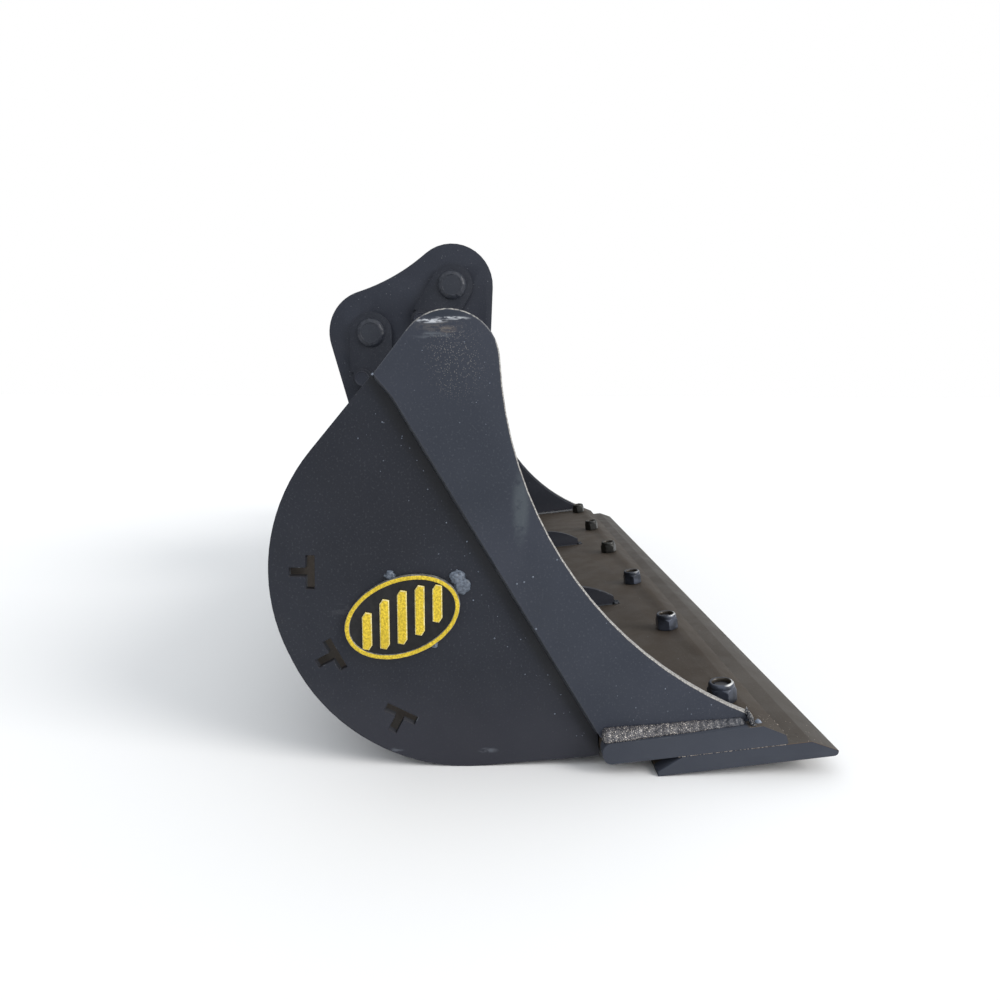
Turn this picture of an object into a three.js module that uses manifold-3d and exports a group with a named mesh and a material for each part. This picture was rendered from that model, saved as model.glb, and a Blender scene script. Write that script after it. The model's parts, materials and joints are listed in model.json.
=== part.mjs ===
// Grading bucket for a mini excavator, in millimetres, +Z up.
// The blade points along -Y and the bucket is WIDTH wide along X. It rests on flat ground on its
// heel and on the rear bottom corner of the bolt-on edge.
// Plates are drawn in the bucket's side section: (forward, up), forward being -Y.

import * as THREE from 'three';
import { mergeVertices } from 'three/addons/utils/BufferGeometryUtils.js';
import Module from 'manifold-3d';

const wasm = await Module();
wasm.setup();

const DEG = Math.PI / 180;
const GAP = 0.3;
// How far a cutting tool reaches past the face that it cuts.
const OVERCUT = 2;

// Overall width, over the ends of the blade.
const WIDTH = 1500;

// Side plates and the cutter strips on their outer faces.
const STRIP_STEP = 14;
const STRIP_THICK = 12;
const SIDE_THICK = 10;
// How far the side plates' front edges stand back from the strips'.
const SIDE_SETBACK = 5;
const HEEL_R = 210.5;
const HEEL_LOW = new THREE.Vector2(-16, HEEL_R);
const HEEL_HIGH = new THREE.Vector2(-20, 219.5);
const HEEL_JOIN = 204 * DEG;
const LOBE = new THREE.Vector2(-35, 447);
const LOBE_R = 52.8;
const MOUTH_R = 440;
const MOUTH_LEAN = 3.2 * DEG;
const MOUTH_TOE = 298;
const FLOOR_SLOPE = 4.62 * DEG;
const FLOOR_LENGTH = 130.5;
const STRIP_BACK_TOP = new THREE.Vector2(-112.3, 433.9);
const STRIP_BACK_KNEE = new THREE.Vector2(-93, 411);
const STRIP_BACK_FOOT = -57;

// T-shaped jig slots in the side plates, with their heads inwards.
const SLOT_RADIUS = 165.5;
const SLOT_ANGLES = [178.5, 208.5, 243.3];
const SLOT_HEAD = 37;
const SLOT_STEM = 18;
const SLOT_WIDE = 9.5;

// Curved shell between the side plates.
const SHELL_THICK = 8;
const SHELL_INSET = 3;
const SHELL_TOP_CUT = 20;

// Tube along the top edge.
const TUBE_R = 44.5;
const TUBE_WALL = 8;

// Blade: a reversible edge bolted under the lip. u runs forwards along it, v up from its underside.
const BLADE_CORNER = new THREE.Vector2(192.1, 0);
const BLADE_TILT = 6.6 * DEG;
const EDGE_WIDE = 200;
const EDGE_THICK = 20;
const EDGE_BEVEL = 29;
const EDGE_NOSE = 6;
const LIP_REAR = -58;
const LIP_FRONT = 145;
const LIP_THICK = 24;
const LIP_ROUND = 10;
const LIP_BEVEL_RUN = 26;
const LIP_NOSE = 11;
const LIP_NOSE_LEAN = 2;
const LIP_EASE = 1;
const LIP_BASE = EDGE_THICK + GAP;
const LIP_TOP = LIP_BASE + LIP_THICK;

// Plow bolts and lock nuts.
const BOLT_COUNT = 6;
const BOLT_PITCH = 270;
const BOLT_U = 97.5;
const BOLT_R = 10;
const BOLT_HEAD_R = 19;
const BOLT_HEAD_DEEP = 11;
const BOLT_SUNK = 0.6;
const BOLT_CHAMFER = 1.5;
const BOLT_SHORT = 4.2;
const NUT_FLATS = 30;
const NUT_HIGH = 23.5;
const NUT_TURNS = [8, 0, 0, 31, 44, 43];
// Where the hexagon's corners are turned away, from its foot up to the round collar: [radius, up].
const NUT_CORNER = NUT_FLATS / Math.sqrt(3);
const NUT_PROFILE = [
  [14.6, 0], [NUT_CORNER, 1.6], [NUT_CORNER, 14], [16, 16.8], [15.3, 19.2],
  [14.2, 21.4], [12.9, 22.9], [11.6, NUT_HIGH],
];
const NUT_OPENING_R = 9.6;
const NUT_RIM = 3.2;

// Low ribs inside.
const RIB_X = 250;
const RIB_THICK = 10;
const RIB_HIGH = 39;
const RIB_NOSE = 42;
const RIB_NOSE_HIGH = 14;
const RIB_BEND = 4;
const RIB_NOTCH = 16;
const RIB_TURN = 262.6 * DEG;
const RIB_END = 220 * DEG;
const RIB_END_CUT = 6 * DEG;

// Ears, pin bores and what sits in them.
const EAR_GAP = 170;
const EAR_THICK = 22;
const PIN_FRONT = new THREE.Vector2(-55.7, 602.5);
const PIN_PITCH = 170;
const PIN_LINE = 210 * DEG;
const FRONT_LOBE_R = 74;
const REAR_LOBE_R = 77;
const SADDLE_R = 360;
const EAR_FRONT_LEAN = 2.2 * DEG;
const EAR_LEG_LEAN = 15.2 * DEG;
const EAR_LEG_FOOT = 312;
const PIN_R = 20;
const PIN_CLEARANCE = 0.1;
const BUSH_R = 27.5;
const BOSS_R = 45;
const BOSS_THICK = 10;
const BRACE_THICK = 12;
const BRACE_HIGH = 45;
const BRACE_ALONG = 80;

// Keeper flags on the pins' -X ends.
const FLAG_CLEARANCE = 0.4;
const FLAG_THICK = 10;
const FLAG_R = 37.5;
const FLAG_DROP = 72;
const FLAG_TURN = { front: -31.6 * DEG, rear: -1.1 * DEG };
const EYE_OUT = 83.8;
const EYE_TURN = -10.5 * DEG;
const EYE_R = 18;
const EYE_PROUD = 4;
const LOCK_R = 8;
const LOCK_HEAD_R = 13.5;
const LOCK_HEAD_HIGH = 4;
const LOCK_HEAD_CHAMFER = 2;
const LOCK_TIP_CHAMFER = 1.5;
const LOCK_REACH = 4;
const PIN_PROUD = 7;
const PIN_CHAMFER = 2;
const PIN_TAIL = 10;
const PIN_LEAD = 3;
const PIN_LEAD_LONG = 5;

// Oval badges on the side plates.
const BADGE = new THREE.Vector2(-86.9, 175.2);
const BADGE_LONG = 64.8;
const BADGE_SHORT = 43.4;
const BADGE_TURN = 22 * DEG;
const BADGE_THICK = 7;
const BADGE_RIM = 5;
const BADGE_DISH = 2.5;

// Weld beads.
const WELD_LEG = 12;
const LIP_WELD_REAR = -53;
const LIP_WELD_FRONT = 98;
const LIP_WELD_TIP = 4;
const SHELL_WELD_FOOT = 9.6;
const SHELL_WELD_LOW = 4;
const PIN_WELD_WIDE = 7;
const PIN_WELD_HIGH = 5;
const PIN_WELD_CROWN = 3;
const PIN_WELD_DOWN = 0.5;

// Facets: sides of a full circle, and steps along an arc.
const SIDES = 32;
const SMALL_SIDES = 16;
const NUT_SIDES = 24;
const EYE_SIDES = 24;
const ARC_STEPS = 9;
const BADGE_STEPS = 14;
const SHELL_STEPS = 10;
const EAR_STEPS = 7;
const BLADE_STEPS = 6;

const FINISH = {
  paint: { color: 0x353940, roughness: 0.55, metalness: 0.3 },
  edge: { color: 0x3f434b, roughness: 0.5, metalness: 0.35 },
  inside: { color: 0x4a453f, roughness: 0.6, metalness: 0.3 },
  weld: { color: 0x55575c, roughness: 0.45, metalness: 0.6 },
  fastener: { color: 0x30343a, roughness: 0.35, metalness: 0.7 },
  badge: { color: 0xd8b21c, roughness: 0.6, metalness: 0.1 },
  steel: { color: 0x8a8d91, roughness: 0.35, metalness: 0.9 },
};

const bucket = new THREE.Group();
const blade = new THREE.Group();
bucket.add(blade);

// ---------------------------------------------------------------- helpers

function polar(centre, radius, angle) {
  return new THREE.Vector2(
    centre.x + radius * Math.cos(angle),
    centre.y + radius * Math.sin(angle),
  );
}

function onBlade(u, v) {
  const c = Math.cos(BLADE_TILT);
  const s = Math.sin(BLADE_TILT);
  return new THREE.Vector2(BLADE_CORNER.x + u * c - v * s, BLADE_CORNER.y + u * s + v * c);
}

// Angle of the outward normal of the straight line that touches two circles on their left.
function touchingNormal(low, lowR, high, highR) {
  const across = new THREE.Vector2().subVectors(high, low);
  const lean = Math.acos((lowR - highR) / across.length());
  return Math.atan2(across.y, across.x) + lean;
}

function go(shape, point) {
  shape.lineTo(point.x, point.y);
}

function start(point) {
  const shape = new THREE.Shape();
  shape.moveTo(point.x, point.y);
  return shape;
}

function arc(shape, centre, radius, from, to) {
  if (shape.curves.length === 0) go(shape, polar(centre, radius, from));
  shape.absarc(centre.x, centre.y, radius, from, to, to < from);
}

// Regular polygon that stands for a circle. Pins and their bores share SIDES, so they stay parallel.
function round(centre, radius, sides = SIDES) {
  return Array.from({ length: sides }, (_, i) => polar(centre, radius, (2 * Math.PI * i) / sides));
}

// Shape from a loop of [forward, up] or [u, v] pairs.
function outline(pairs) {
  return new THREE.Shape(pairs.map(([x, y]) => new THREE.Vector2(x, y)));
}

function extrude(shape, thick, steps = ARC_STEPS) {
  const options = { depth: thick, bevelEnabled: false, curveSegments: steps };
  return new THREE.ExtrudeGeometry(shape, options);
}

// Turns a section drawn in x and y and extruded in z to face sideways, from xLow to xHigh.
function sideways(geometry, xHigh) {
  const turn = new THREE.Matrix4().makeBasis(
    new THREE.Vector3(0, -1, 0),
    new THREE.Vector3(0, 0, 1),
    new THREE.Vector3(-1, 0, 0),
  );
  geometry.applyMatrix4(turn);
  geometry.translate(xHigh, 0, 0);
  return geometry;
}

function plate(shape, xLow, xHigh, steps) {
  return sideways(extrude(shape, xHigh - xLow, steps), xHigh);
}

// A solid of revolution about X through a point of the side section.
function turned(profile, centre, segments) {
  const geometry = new THREE.LatheGeometry(profile.map(([r, x]) => new THREE.Vector2(r, x)), segments);
  geometry.rotateZ(-Math.PI / 2);
  geometry.translate(0, -centre.x, centre.y);
  return geometry;
}

function ring(centre, outerR, innerR, [xLow, xHigh]) {
  const shape = new THREE.Shape(round(centre, outerR));
  shape.holes.push(new THREE.Path(round(centre, innerR)));
  return plate(shape, xLow, xHigh);
}

function toSolid(geometry) {
  const bare = geometry.index ? geometry.clone() : geometry;
  bare.deleteAttribute('normal');
  bare.deleteAttribute('uv');
  const merged = mergeVertices(bare, 1e-4);
  return new wasm.Manifold(new wasm.Mesh({
    numProp: 3,
    vertProperties: new Float32Array(merged.attributes.position.array),
    triVerts: new Uint32Array(merged.index.array),
  }));
}

function fromSolid(solid) {
  const mesh = solid.getMesh();
  const geometry = new THREE.BufferGeometry();
  geometry.setAttribute('position', new THREE.BufferAttribute(mesh.vertProperties, 3));
  geometry.setIndex(new THREE.BufferAttribute(mesh.triVerts, 1));
  return geometry;
}

function cut(geometry, ...tools) {
  let solid = toSolid(geometry);
  for (const tool of tools) solid = solid.subtract(toSolid(tool));
  return fromSolid(solid);
}

function join(geometry, ...others) {
  let solid = toSolid(geometry);
  for (const other of others) solid = solid.add(toSolid(other));
  return fromSolid(solid);
}

function add(group, name, geometry, finish) {
  geometry.deleteAttribute('normal');
  geometry.deleteAttribute('uv');
  geometry.computeVertexNormals();
  const mesh = new THREE.Mesh(geometry, new THREE.MeshStandardMaterial(FINISH[finish]));
  mesh.name = name;
  group.add(mesh);
  return mesh;
}

// The -X side and the +X side, with the range of X that a plate takes on each.
function eachSide(build) {
  build('left', (near, far) => [-far, -near]);
  build('right', (near, far) => [near, far]);
}

// ---------------------------------------------------------------- side section

const BACK_NORMAL = touchingNormal(HEEL_HIGH, HEEL_R, LOBE, LOBE_R);
const FLOOR_ANGLE = 1.5 * Math.PI + FLOOR_SLOPE;
const MOUTH = polar(LOBE, LOBE_R + MOUTH_R, MOUTH_LEAN);
const MOUTH_END = 1.5 * Math.PI - Math.asin((MOUTH.x - MOUTH_TOE) / MOUTH_R);
const REAR_PIN = polar(PIN_FRONT, PIN_PITCH, PIN_LINE);

function onFloor(inset, along) {
  return polar(polar(HEEL_LOW, HEEL_R - inset, FLOOR_ANGLE), along, FLOOR_SLOPE);
}

// Heel and back, from the floor round to the straight back.
function heelUp(shape, inset) {
  arc(shape, HEEL_LOW, HEEL_R - inset, FLOOR_ANGLE, HEEL_JOIN);
  arc(shape, HEEL_HIGH, HEEL_R - inset, HEEL_JOIN, BACK_NORMAL);
}

function heelDown(shape, inset) {
  arc(shape, HEEL_HIGH, HEEL_R - inset, BACK_NORMAL, HEEL_JOIN);
  arc(shape, HEEL_LOW, HEEL_R - inset, HEEL_JOIN, FLOOR_ANGLE);
}

// Rounded top and concave front edge, set back from the mouth's line, down to a blunt toe on the lip.
function mouthDown(shape, setback) {
  arc(shape, LOBE, LOBE_R, BACK_NORMAL, MOUTH_LEAN);
  arc(shape, MOUTH, MOUTH_R + setback, Math.PI + MOUTH_LEAN, MOUTH_END);
  go(shape, toeFoot(setback));
}

function toeFoot(setback) {
  const u = (MOUTH_TOE - BLADE_CORNER.x) / Math.cos(BLADE_TILT) + LIP_TOP * Math.tan(BLADE_TILT);
  return onBlade(u - setback, LIP_TOP + GAP);
}

// ---------------------------------------------------------------- sides

function slotTool(angle) {
  const half = SLOT_WIDE / 2;
  const shape = outline([
    [-half, -SLOT_HEAD / 2], [half, -SLOT_HEAD / 2], [half, -half], [half + SLOT_STEM, -half],
    [half + SLOT_STEM, half], [half, half], [half, SLOT_HEAD / 2], [-half, SLOT_HEAD / 2],
  ]);
  const geometry = extrude(shape, SIDE_THICK + 2 * OVERCUT);
  const centre = polar(angle * DEG < HEEL_JOIN ? HEEL_HIGH : HEEL_LOW, SLOT_RADIUS, angle * DEG);
  geometry.rotateZ(angle * DEG);
  geometry.translate(centre.x, centre.y, 0);
  return geometry;
}

function sidePlate([xLow, xHigh]) {
  const shape = start(onBlade(LIP_REAR - 2 * GAP, LIP_TOP + GAP));
  go(shape, onFloor(0, FLOOR_LENGTH));
  heelUp(shape, 0);
  mouthDown(shape, SIDE_SETBACK);
  const slots = SLOT_ANGLES.map((angle) => sideways(slotTool(angle), xHigh + OVERCUT));
  return cut(plate(shape, xLow, xHigh), ...slots);
}

function sideStrip([xLow, xHigh]) {
  const shape = start(STRIP_BACK_TOP);
  go(shape, polar(LOBE, LOBE_R, BACK_NORMAL));
  mouthDown(shape, 0);
  go(shape, onBlade(STRIP_BACK_FOOT, LIP_TOP + GAP));
  go(shape, STRIP_BACK_KNEE);
  return plate(shape, xLow, xHigh);
}

function badgePlate([xLow, xHigh], outside) {
  const oval = (inset) => {
    const shape = new THREE.Shape();
    const long = BADGE_LONG - inset;
    const short = BADGE_SHORT - inset;
    shape.absellipse(BADGE.x, BADGE.y, long, short, 0, 2 * Math.PI, false, BADGE_TURN);
    return shape;
  };
  const dishLow = outside < 0 ? xLow - OVERCUT : xHigh - BADGE_DISH;
  const dish = plate(oval(BADGE_RIM), dishLow, dishLow + BADGE_DISH + OVERCUT, BADGE_STEPS);
  return cut(plate(oval(0), xLow, xHigh, BADGE_STEPS), dish);
}

const STRIP_OUT = WIDTH / 2 - STRIP_STEP;
const SIDE_OUT = STRIP_OUT - STRIP_THICK - GAP;
const INNER_HALF = SIDE_OUT - SIDE_THICK - GAP;

eachSide((side, span) => {
  add(bucket, `side_plate_${side}`, sidePlate(span(SIDE_OUT - SIDE_THICK, SIDE_OUT)), 'paint');
  add(bucket, `side_strip_${side}`, sideStrip(span(SIDE_OUT + GAP, STRIP_OUT)), 'paint');
  const badgeSpan = span(SIDE_OUT + GAP, SIDE_OUT + GAP + BADGE_THICK);
  add(bucket, `badge_plate_${side}`, badgePlate(badgeSpan, side === 'left' ? -1 : 1), 'badge');
});

// ---------------------------------------------------------------- shell, tube and ribs

function backEnd(inset) {
  const foot = polar(LOBE, LOBE_R - inset, BACK_NORMAL);
  return polar(foot, SHELL_TOP_CUT, BACK_NORMAL + Math.PI / 2);
}

function shellPlate() {
  const outer = SHELL_INSET;
  const inner = SHELL_INSET + SHELL_THICK;
  const shape = start(onFloor(inner, FLOOR_LENGTH));
  go(shape, onFloor(outer, FLOOR_LENGTH));
  heelUp(shape, outer);
  go(shape, backEnd(outer));
  go(shape, backEnd(inner));
  heelDown(shape, inner);
  return plate(shape, -INNER_HALF, INNER_HALF, SHELL_STEPS);
}

function torqueTube() {
  return ring(LOBE, TUBE_R, TUBE_R - TUBE_WALL, [-INNER_HALF, INNER_HALF]);
}

// A low rib: blunt nose on the lip, rising to its full height, then over the floor and up the heel.
function innerRib([xLow, xHigh]) {
  const inset = SHELL_INSET + SHELL_THICK + GAP;
  const top = LIP_TOP + RIB_HIGH;
  const bend = onBlade(RIB_BEND, top);
  const level = onBlade(2 * RIB_BEND - RIB_NOSE, top);
  const shape = start(onBlade(RIB_NOSE, LIP_TOP + GAP));
  go(shape, onBlade(RIB_NOSE, LIP_TOP + RIB_NOSE_HIGH));
  shape.quadraticCurveTo(bend.x, bend.y, level.x, level.y);
  go(shape, onBlade(LIP_REAR, top));
  arc(shape, HEEL_LOW, HEEL_R - inset - RIB_HIGH, RIB_TURN, RIB_END);
  go(shape, polar(HEEL_LOW, HEEL_R - inset, RIB_END - RIB_END_CUT));
  arc(shape, HEEL_LOW, HEEL_R - inset, RIB_END - RIB_END_CUT, FLOOR_ANGLE);
  go(shape, onFloor(inset, FLOOR_LENGTH - RIB_NOTCH));
  go(shape, onBlade(LIP_REAR - RIB_NOTCH, LIP_TOP + GAP));
  return plate(shape, xLow, xHigh, BLADE_STEPS);
}

add(bucket, 'shell_plate', shellPlate(), 'inside');
add(bucket, 'torque_tube', torqueTube(), 'paint');
eachSide((side, span) => {
  const half = RIB_THICK / 2;
  add(bucket, `inner_rib_${side}`, innerRib(span(RIB_X - half, RIB_X + half)), 'paint');
});

// ---------------------------------------------------------------- blade, in u and v

blade.position.set(0, -BLADE_CORNER.x, BLADE_CORNER.y);
blade.rotation.x = -BLADE_TILT;

// A solid of revolution about the bolt line's up direction.
function standing(profile, segments) {
  const geometry = new THREE.LatheGeometry(profile.map(([r, v]) => new THREE.Vector2(r, v)), segments);
  geometry.rotateX(Math.PI / 2);
  return geometry;
}

function boltSpots() {
  const first = -BOLT_PITCH * (BOLT_COUNT - 1) / 2;
  return Array.from({ length: BOLT_COUNT }, (_, i) => first + i * BOLT_PITCH);
}

function boltTool(profile) {
  return boltSpots().map((x) => standing(profile, SMALL_SIDES).translate(x, -BOLT_U, 0));
}

function cuttingEdge() {
  const shape = start(new THREE.Vector2(0, 0));
  shape.lineTo(EDGE_WIDE - EDGE_NOSE, 0);
  shape.quadraticCurveTo(EDGE_WIDE, 0, EDGE_WIDE, EDGE_NOSE);
  shape.lineTo(EDGE_WIDE - EDGE_BEVEL, EDGE_THICK);
  shape.lineTo(EDGE_BEVEL, EDGE_THICK);
  shape.lineTo(0, EDGE_NOSE);
  const neck = BOLT_R + GAP;
  const head = BOLT_HEAD_R + GAP;
  const hole = [
    [0, -OVERCUT], [head + OVERCUT, -OVERCUT], [head, 0],
    [neck, BOLT_HEAD_DEEP], [neck, EDGE_THICK + OVERCUT], [0, EDGE_THICK + OVERCUT],
  ];
  return cut(plate(shape, -WIDTH / 2, WIDTH / 2, BLADE_STEPS), ...boltTool(hole));
}

function lipPlate() {
  const r = LIP_ROUND;
  const shape = start(new THREE.Vector2(LIP_REAR + r, LIP_TOP));
  arc(shape, new THREE.Vector2(LIP_REAR + r, LIP_TOP - r), r, Math.PI / 2, Math.PI);
  arc(shape, new THREE.Vector2(LIP_REAR + r, LIP_BASE + r), r, Math.PI, 1.5 * Math.PI);
  shape.lineTo(LIP_FRONT - LIP_EASE, LIP_BASE);
  shape.lineTo(LIP_FRONT, LIP_BASE + 2 * LIP_EASE);
  shape.lineTo(LIP_FRONT - LIP_NOSE_LEAN, LIP_BASE + LIP_NOSE);
  shape.lineTo(LIP_FRONT - LIP_BEVEL_RUN, LIP_TOP);
  const neck = BOLT_R + GAP;
  const low = LIP_BASE - OVERCUT;
  const high = LIP_TOP + OVERCUT;
  const hole = [[0, low], [neck, low], [neck, high], [0, high]];
  return cut(plate(shape, -WIDTH / 2, WIDTH / 2, BLADE_STEPS), ...boltTool(hole));
}

// Countersunk head in the edge, and an end that stops inside the nut's rim.
function plowBolt() {
  const end = LIP_TOP + NUT_HIGH - BOLT_SHORT;
  const head = BOLT_HEAD_R - BOLT_SUNK - GAP;
  return standing([
    [0, BOLT_SUNK], [head, BOLT_SUNK], [BOLT_R, BOLT_HEAD_DEEP - GAP],
    [BOLT_R, end - BOLT_CHAMFER], [BOLT_R - BOLT_CHAMFER, end], [0, end],
  ], SMALL_SIDES);
}

// Hexagon that flows into a round locking collar, with a bore and a narrower opening in its rim.
function lockNut(turn) {
  const hex = new THREE.CylinderGeometry(NUT_CORNER, NUT_CORNER, NUT_HIGH, 6);
  hex.rotateX(Math.PI / 2);
  hex.rotateZ(turn * DEG + Math.PI / 6);
  hex.translate(0, 0, NUT_HIGH / 2);
  const dome = standing([[0, 0], ...NUT_PROFILE, [0, NUT_HIGH]], NUT_SIDES);
  const neck = BOLT_R + GAP;
  const rim = NUT_HIGH - NUT_RIM;
  const top = NUT_HIGH + OVERCUT;
  const bore = standing([
    [0, -OVERCUT], [neck, -OVERCUT], [neck, rim], [NUT_OPENING_R, rim], [NUT_OPENING_R, top], [0, top],
  ], SMALL_SIDES);
  return fromSolid(toSolid(hex).intersect(toSolid(dome)).subtract(toSolid(bore)));
}

// Fillet that closes the step between a strip's outer face and the lip's end.
function lipWeld([xLow, xHigh], outside) {
  const rootX = outside < 0 ? xHigh : xLow;
  const toeX = outside < 0 ? xLow : xHigh;
  const corners = [
    [rootX, LIP_WELD_REAR, 0], [toeX, LIP_WELD_REAR, 0], [rootX, LIP_WELD_REAR, WELD_LEG],
    [rootX, LIP_WELD_FRONT, 0], [rootX + outside * LIP_WELD_TIP, LIP_WELD_FRONT, 0],
    [rootX, LIP_WELD_FRONT, LIP_WELD_TIP],
  ];
  const faces = [0, 1, 2, 3, 5, 4, 0, 3, 4, 0, 4, 1, 1, 4, 5, 1, 5, 2, 2, 5, 3, 2, 3, 0];
  const geometry = new THREE.BufferGeometry();
  const points = corners.flatMap(([x, u, v]) => [x, -u, v + LIP_TOP + GAP]);
  geometry.setAttribute('position', new THREE.Float32BufferAttribute(points, 3));
  geometry.setIndex(outside < 0 ? faces : faces.toReversed());
  return geometry;
}

// Weld that fills the step from the shell's inner face up to the lip.
function shellWeld() {
  const back = LIP_REAR - 2 * GAP;
  const foot = LIP_BASE + SHELL_WELD_FOOT;
  const shape = outline([[back, foot], [back, LIP_TOP - SHELL_WELD_LOW], [back - WELD_LEG, foot]]);
  return plate(shape, -INNER_HALF, INNER_HALF);
}

add(blade, 'cutting_edge', cuttingEdge(), 'edge');
add(blade, 'lip_plate', lipPlate(), 'inside');
add(blade, 'shell_lip_weld', shellWeld(), 'weld');
eachSide((side, span) => {
  const weldSpan = span(STRIP_OUT + GAP, STRIP_OUT + GAP + WELD_LEG);
  add(blade, `lip_weld_${side}`, lipWeld(weldSpan, side === 'left' ? -1 : 1), 'weld');
});
boltSpots().forEach((x, i) => {
  const bolt = add(blade, `plow_bolt_${i + 1}`, plowBolt(), 'fastener');
  bolt.position.set(x, -BOLT_U, 0);
  const nut = add(blade, `lock_nut_${i + 1}`, lockNut(NUT_TURNS[i]), 'fastener');
  nut.position.set(x, -BOLT_U, LIP_TOP + GAP);
});

// ---------------------------------------------------------------- ears

const EAR_IN = EAR_GAP / 2;
const EAR_OUT = EAR_IN + EAR_THICK;
const SHELL_R = HEEL_R - SHELL_INSET + GAP;

// Centre of the concave arc between the two lobes, touching both.
function saddleCentre() {
  const toFront = SADDLE_R + FRONT_LOBE_R;
  const toRear = SADDLE_R + REAR_LOBE_R;
  const along = (toFront ** 2 - toRear ** 2 + PIN_PITCH ** 2) / (2 * PIN_PITCH);
  const out = Math.sqrt(toFront ** 2 - along ** 2);
  return polar(polar(PIN_FRONT, along, PIN_LINE), out, PIN_LINE - Math.PI / 2);
}

function angleFrom(centre, point) {
  return Math.atan2(point.y - centre.y, point.x - centre.x);
}

function earPlate([xLow, xHigh], hasLocks) {
  const saddle = saddleCentre();
  const meetFront = angleFrom(PIN_FRONT, saddle);
  const meetRear = angleFrom(REAR_PIN, saddle);
  const tube = TUBE_R + GAP;
  const frontTop = polar(PIN_FRONT, FRONT_LOBE_R, -EAR_FRONT_LEAN);
  const frontFoot = frontTop.x - (frontTop.y - LOBE.y) * Math.tan(EAR_FRONT_LEAN);
  const rearTop = polar(REAR_PIN, REAR_LOBE_R, Math.PI + EAR_LEG_LEAN);
  const legX = rearTop.x + (rearTop.y - EAR_LEG_FOOT) * Math.tan(EAR_LEG_LEAN);
  const footAngle = Math.PI - Math.asin((EAR_LEG_FOOT - HEEL_HIGH.y) / SHELL_R);

  const shape = start(new THREE.Vector2(frontFoot, LOBE.y));
  go(shape, frontTop);
  arc(shape, PIN_FRONT, FRONT_LOBE_R, -EAR_FRONT_LEAN, meetFront);
  arc(shape, saddle, SADDLE_R, meetFront - Math.PI, meetRear - Math.PI);
  arc(shape, REAR_PIN, REAR_LOBE_R, meetRear, Math.PI + EAR_LEG_LEAN);
  go(shape, new THREE.Vector2(legX, EAR_LEG_FOOT));
  arc(shape, HEEL_HIGH, SHELL_R, footAngle, BACK_NORMAL);
  go(shape, polar(LOBE, LOBE_R - SHELL_INSET + GAP, BACK_NORMAL));
  arc(shape, LOBE, tube, BACK_NORMAL, 0);
  const bores = [PIN_FRONT, REAR_PIN].map((pin) => round(pin, BUSH_R + GAP));
  const locks = ['front', 'rear'].map((which) => round(eyeSpot(which), LOCK_R + GAP, SMALL_SIDES));
  for (const hole of hasLocks ? [...bores, ...locks] : bores) shape.holes.push(new THREE.Path(hole));
  return plate(shape, xLow, xHigh, EAR_STEPS);
}

// Plate across the gap, standing on the shell's straight back.
function earBrace() {
  const foot = polar(LOBE, LOBE_R - SHELL_INSET + GAP, BACK_NORMAL);
  const down = BACK_NORMAL + Math.PI / 2;
  const low = polar(foot, BRACE_ALONG, down);
  const lowBack = polar(low, BRACE_THICK, down);
  const highBack = polar(lowBack, BRACE_HIGH, BACK_NORMAL);
  const high = polar(low, BRACE_HIGH, BACK_NORMAL);
  return plate(new THREE.Shape([low, lowBack, highBack, high]), -EAR_IN + GAP, EAR_IN - GAP);
}

eachSide((side, span) => {
  add(bucket, `ear_${side}`, earPlate(span(EAR_IN, EAR_OUT), side === 'left'), 'paint');
  for (const [which, pin] of [['front', PIN_FRONT], ['rear', REAR_PIN]]) {
    const bossSpan = span(EAR_IN - GAP - BOSS_THICK, EAR_IN - GAP);
    const bushSpan = span(EAR_IN - GAP - BOSS_THICK, EAR_OUT);
    add(bucket, `ear_boss_${which}_${side}`, ring(pin, BOSS_R, BUSH_R + GAP, bossSpan), 'paint');
    const bush = ring(pin, BUSH_R, PIN_R + PIN_CLEARANCE, bushSpan);
    add(bucket, `ear_bush_${which}_${side}`, bush, 'steel');
  }
});
add(bucket, 'ear_brace', earBrace(), 'paint');

// ---------------------------------------------------------------- pins, flags and lock bolts

const FLAG_IN = -EAR_OUT - FLAG_CLEARANCE;
const FLAG_OUT = FLAG_IN - FLAG_THICK;

function flagDown(which) {
  return -Math.PI / 2 + FLAG_TURN[which];
}

function eyeSpot(which) {
  const pin = which === 'front' ? PIN_FRONT : REAR_PIN;
  return polar(pin, EYE_OUT, flagDown(which) + EYE_TURN);
}

function pinBar(pin) {
  const low = FLAG_OUT - PIN_PROUD;
  const high = EAR_OUT + PIN_TAIL;
  return turned([
    [0, low], [PIN_R - PIN_CHAMFER, low], [PIN_R, low + PIN_CHAMFER],
    [PIN_R, high - PIN_LEAD_LONG], [PIN_R - PIN_LEAD, high], [0, high],
  ], pin, SIDES);
}

// Plate round the pin with one straight tail, and a round eye on its corner for the lock bolt.
function keeperFlag(pin, which) {
  const down = flagDown(which);
  const across = down - Math.PI / 2;
  const foot = polar(pin, FLAG_DROP, down);
  const shape = start(polar(foot, -FLAG_R, across));
  arc(shape, pin, FLAG_R, across + Math.PI, across + 2 * Math.PI);
  go(shape, polar(foot, FLAG_R, across));
  const body = plate(shape, FLAG_OUT, FLAG_IN);
  const eye = eyeSpot(which);
  const eyeOut = FLAG_OUT - EYE_PROUD;
  const eyeBody = plate(new THREE.Shape(round(eye, EYE_R, EYE_SIDES)), eyeOut, FLAG_IN);
  const pinShape = new THREE.Shape(round(pin, PIN_R + GAP));
  const lockShape = new THREE.Shape(round(eye, LOCK_R + GAP, SMALL_SIDES));
  const pinHole = plate(pinShape, FLAG_OUT - OVERCUT, FLAG_IN + OVERCUT);
  const lockHole = plate(lockShape, eyeOut - OVERCUT, FLAG_IN + OVERCUT);
  return cut(join(body, eyeBody), pinHole, lockHole);
}

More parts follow.
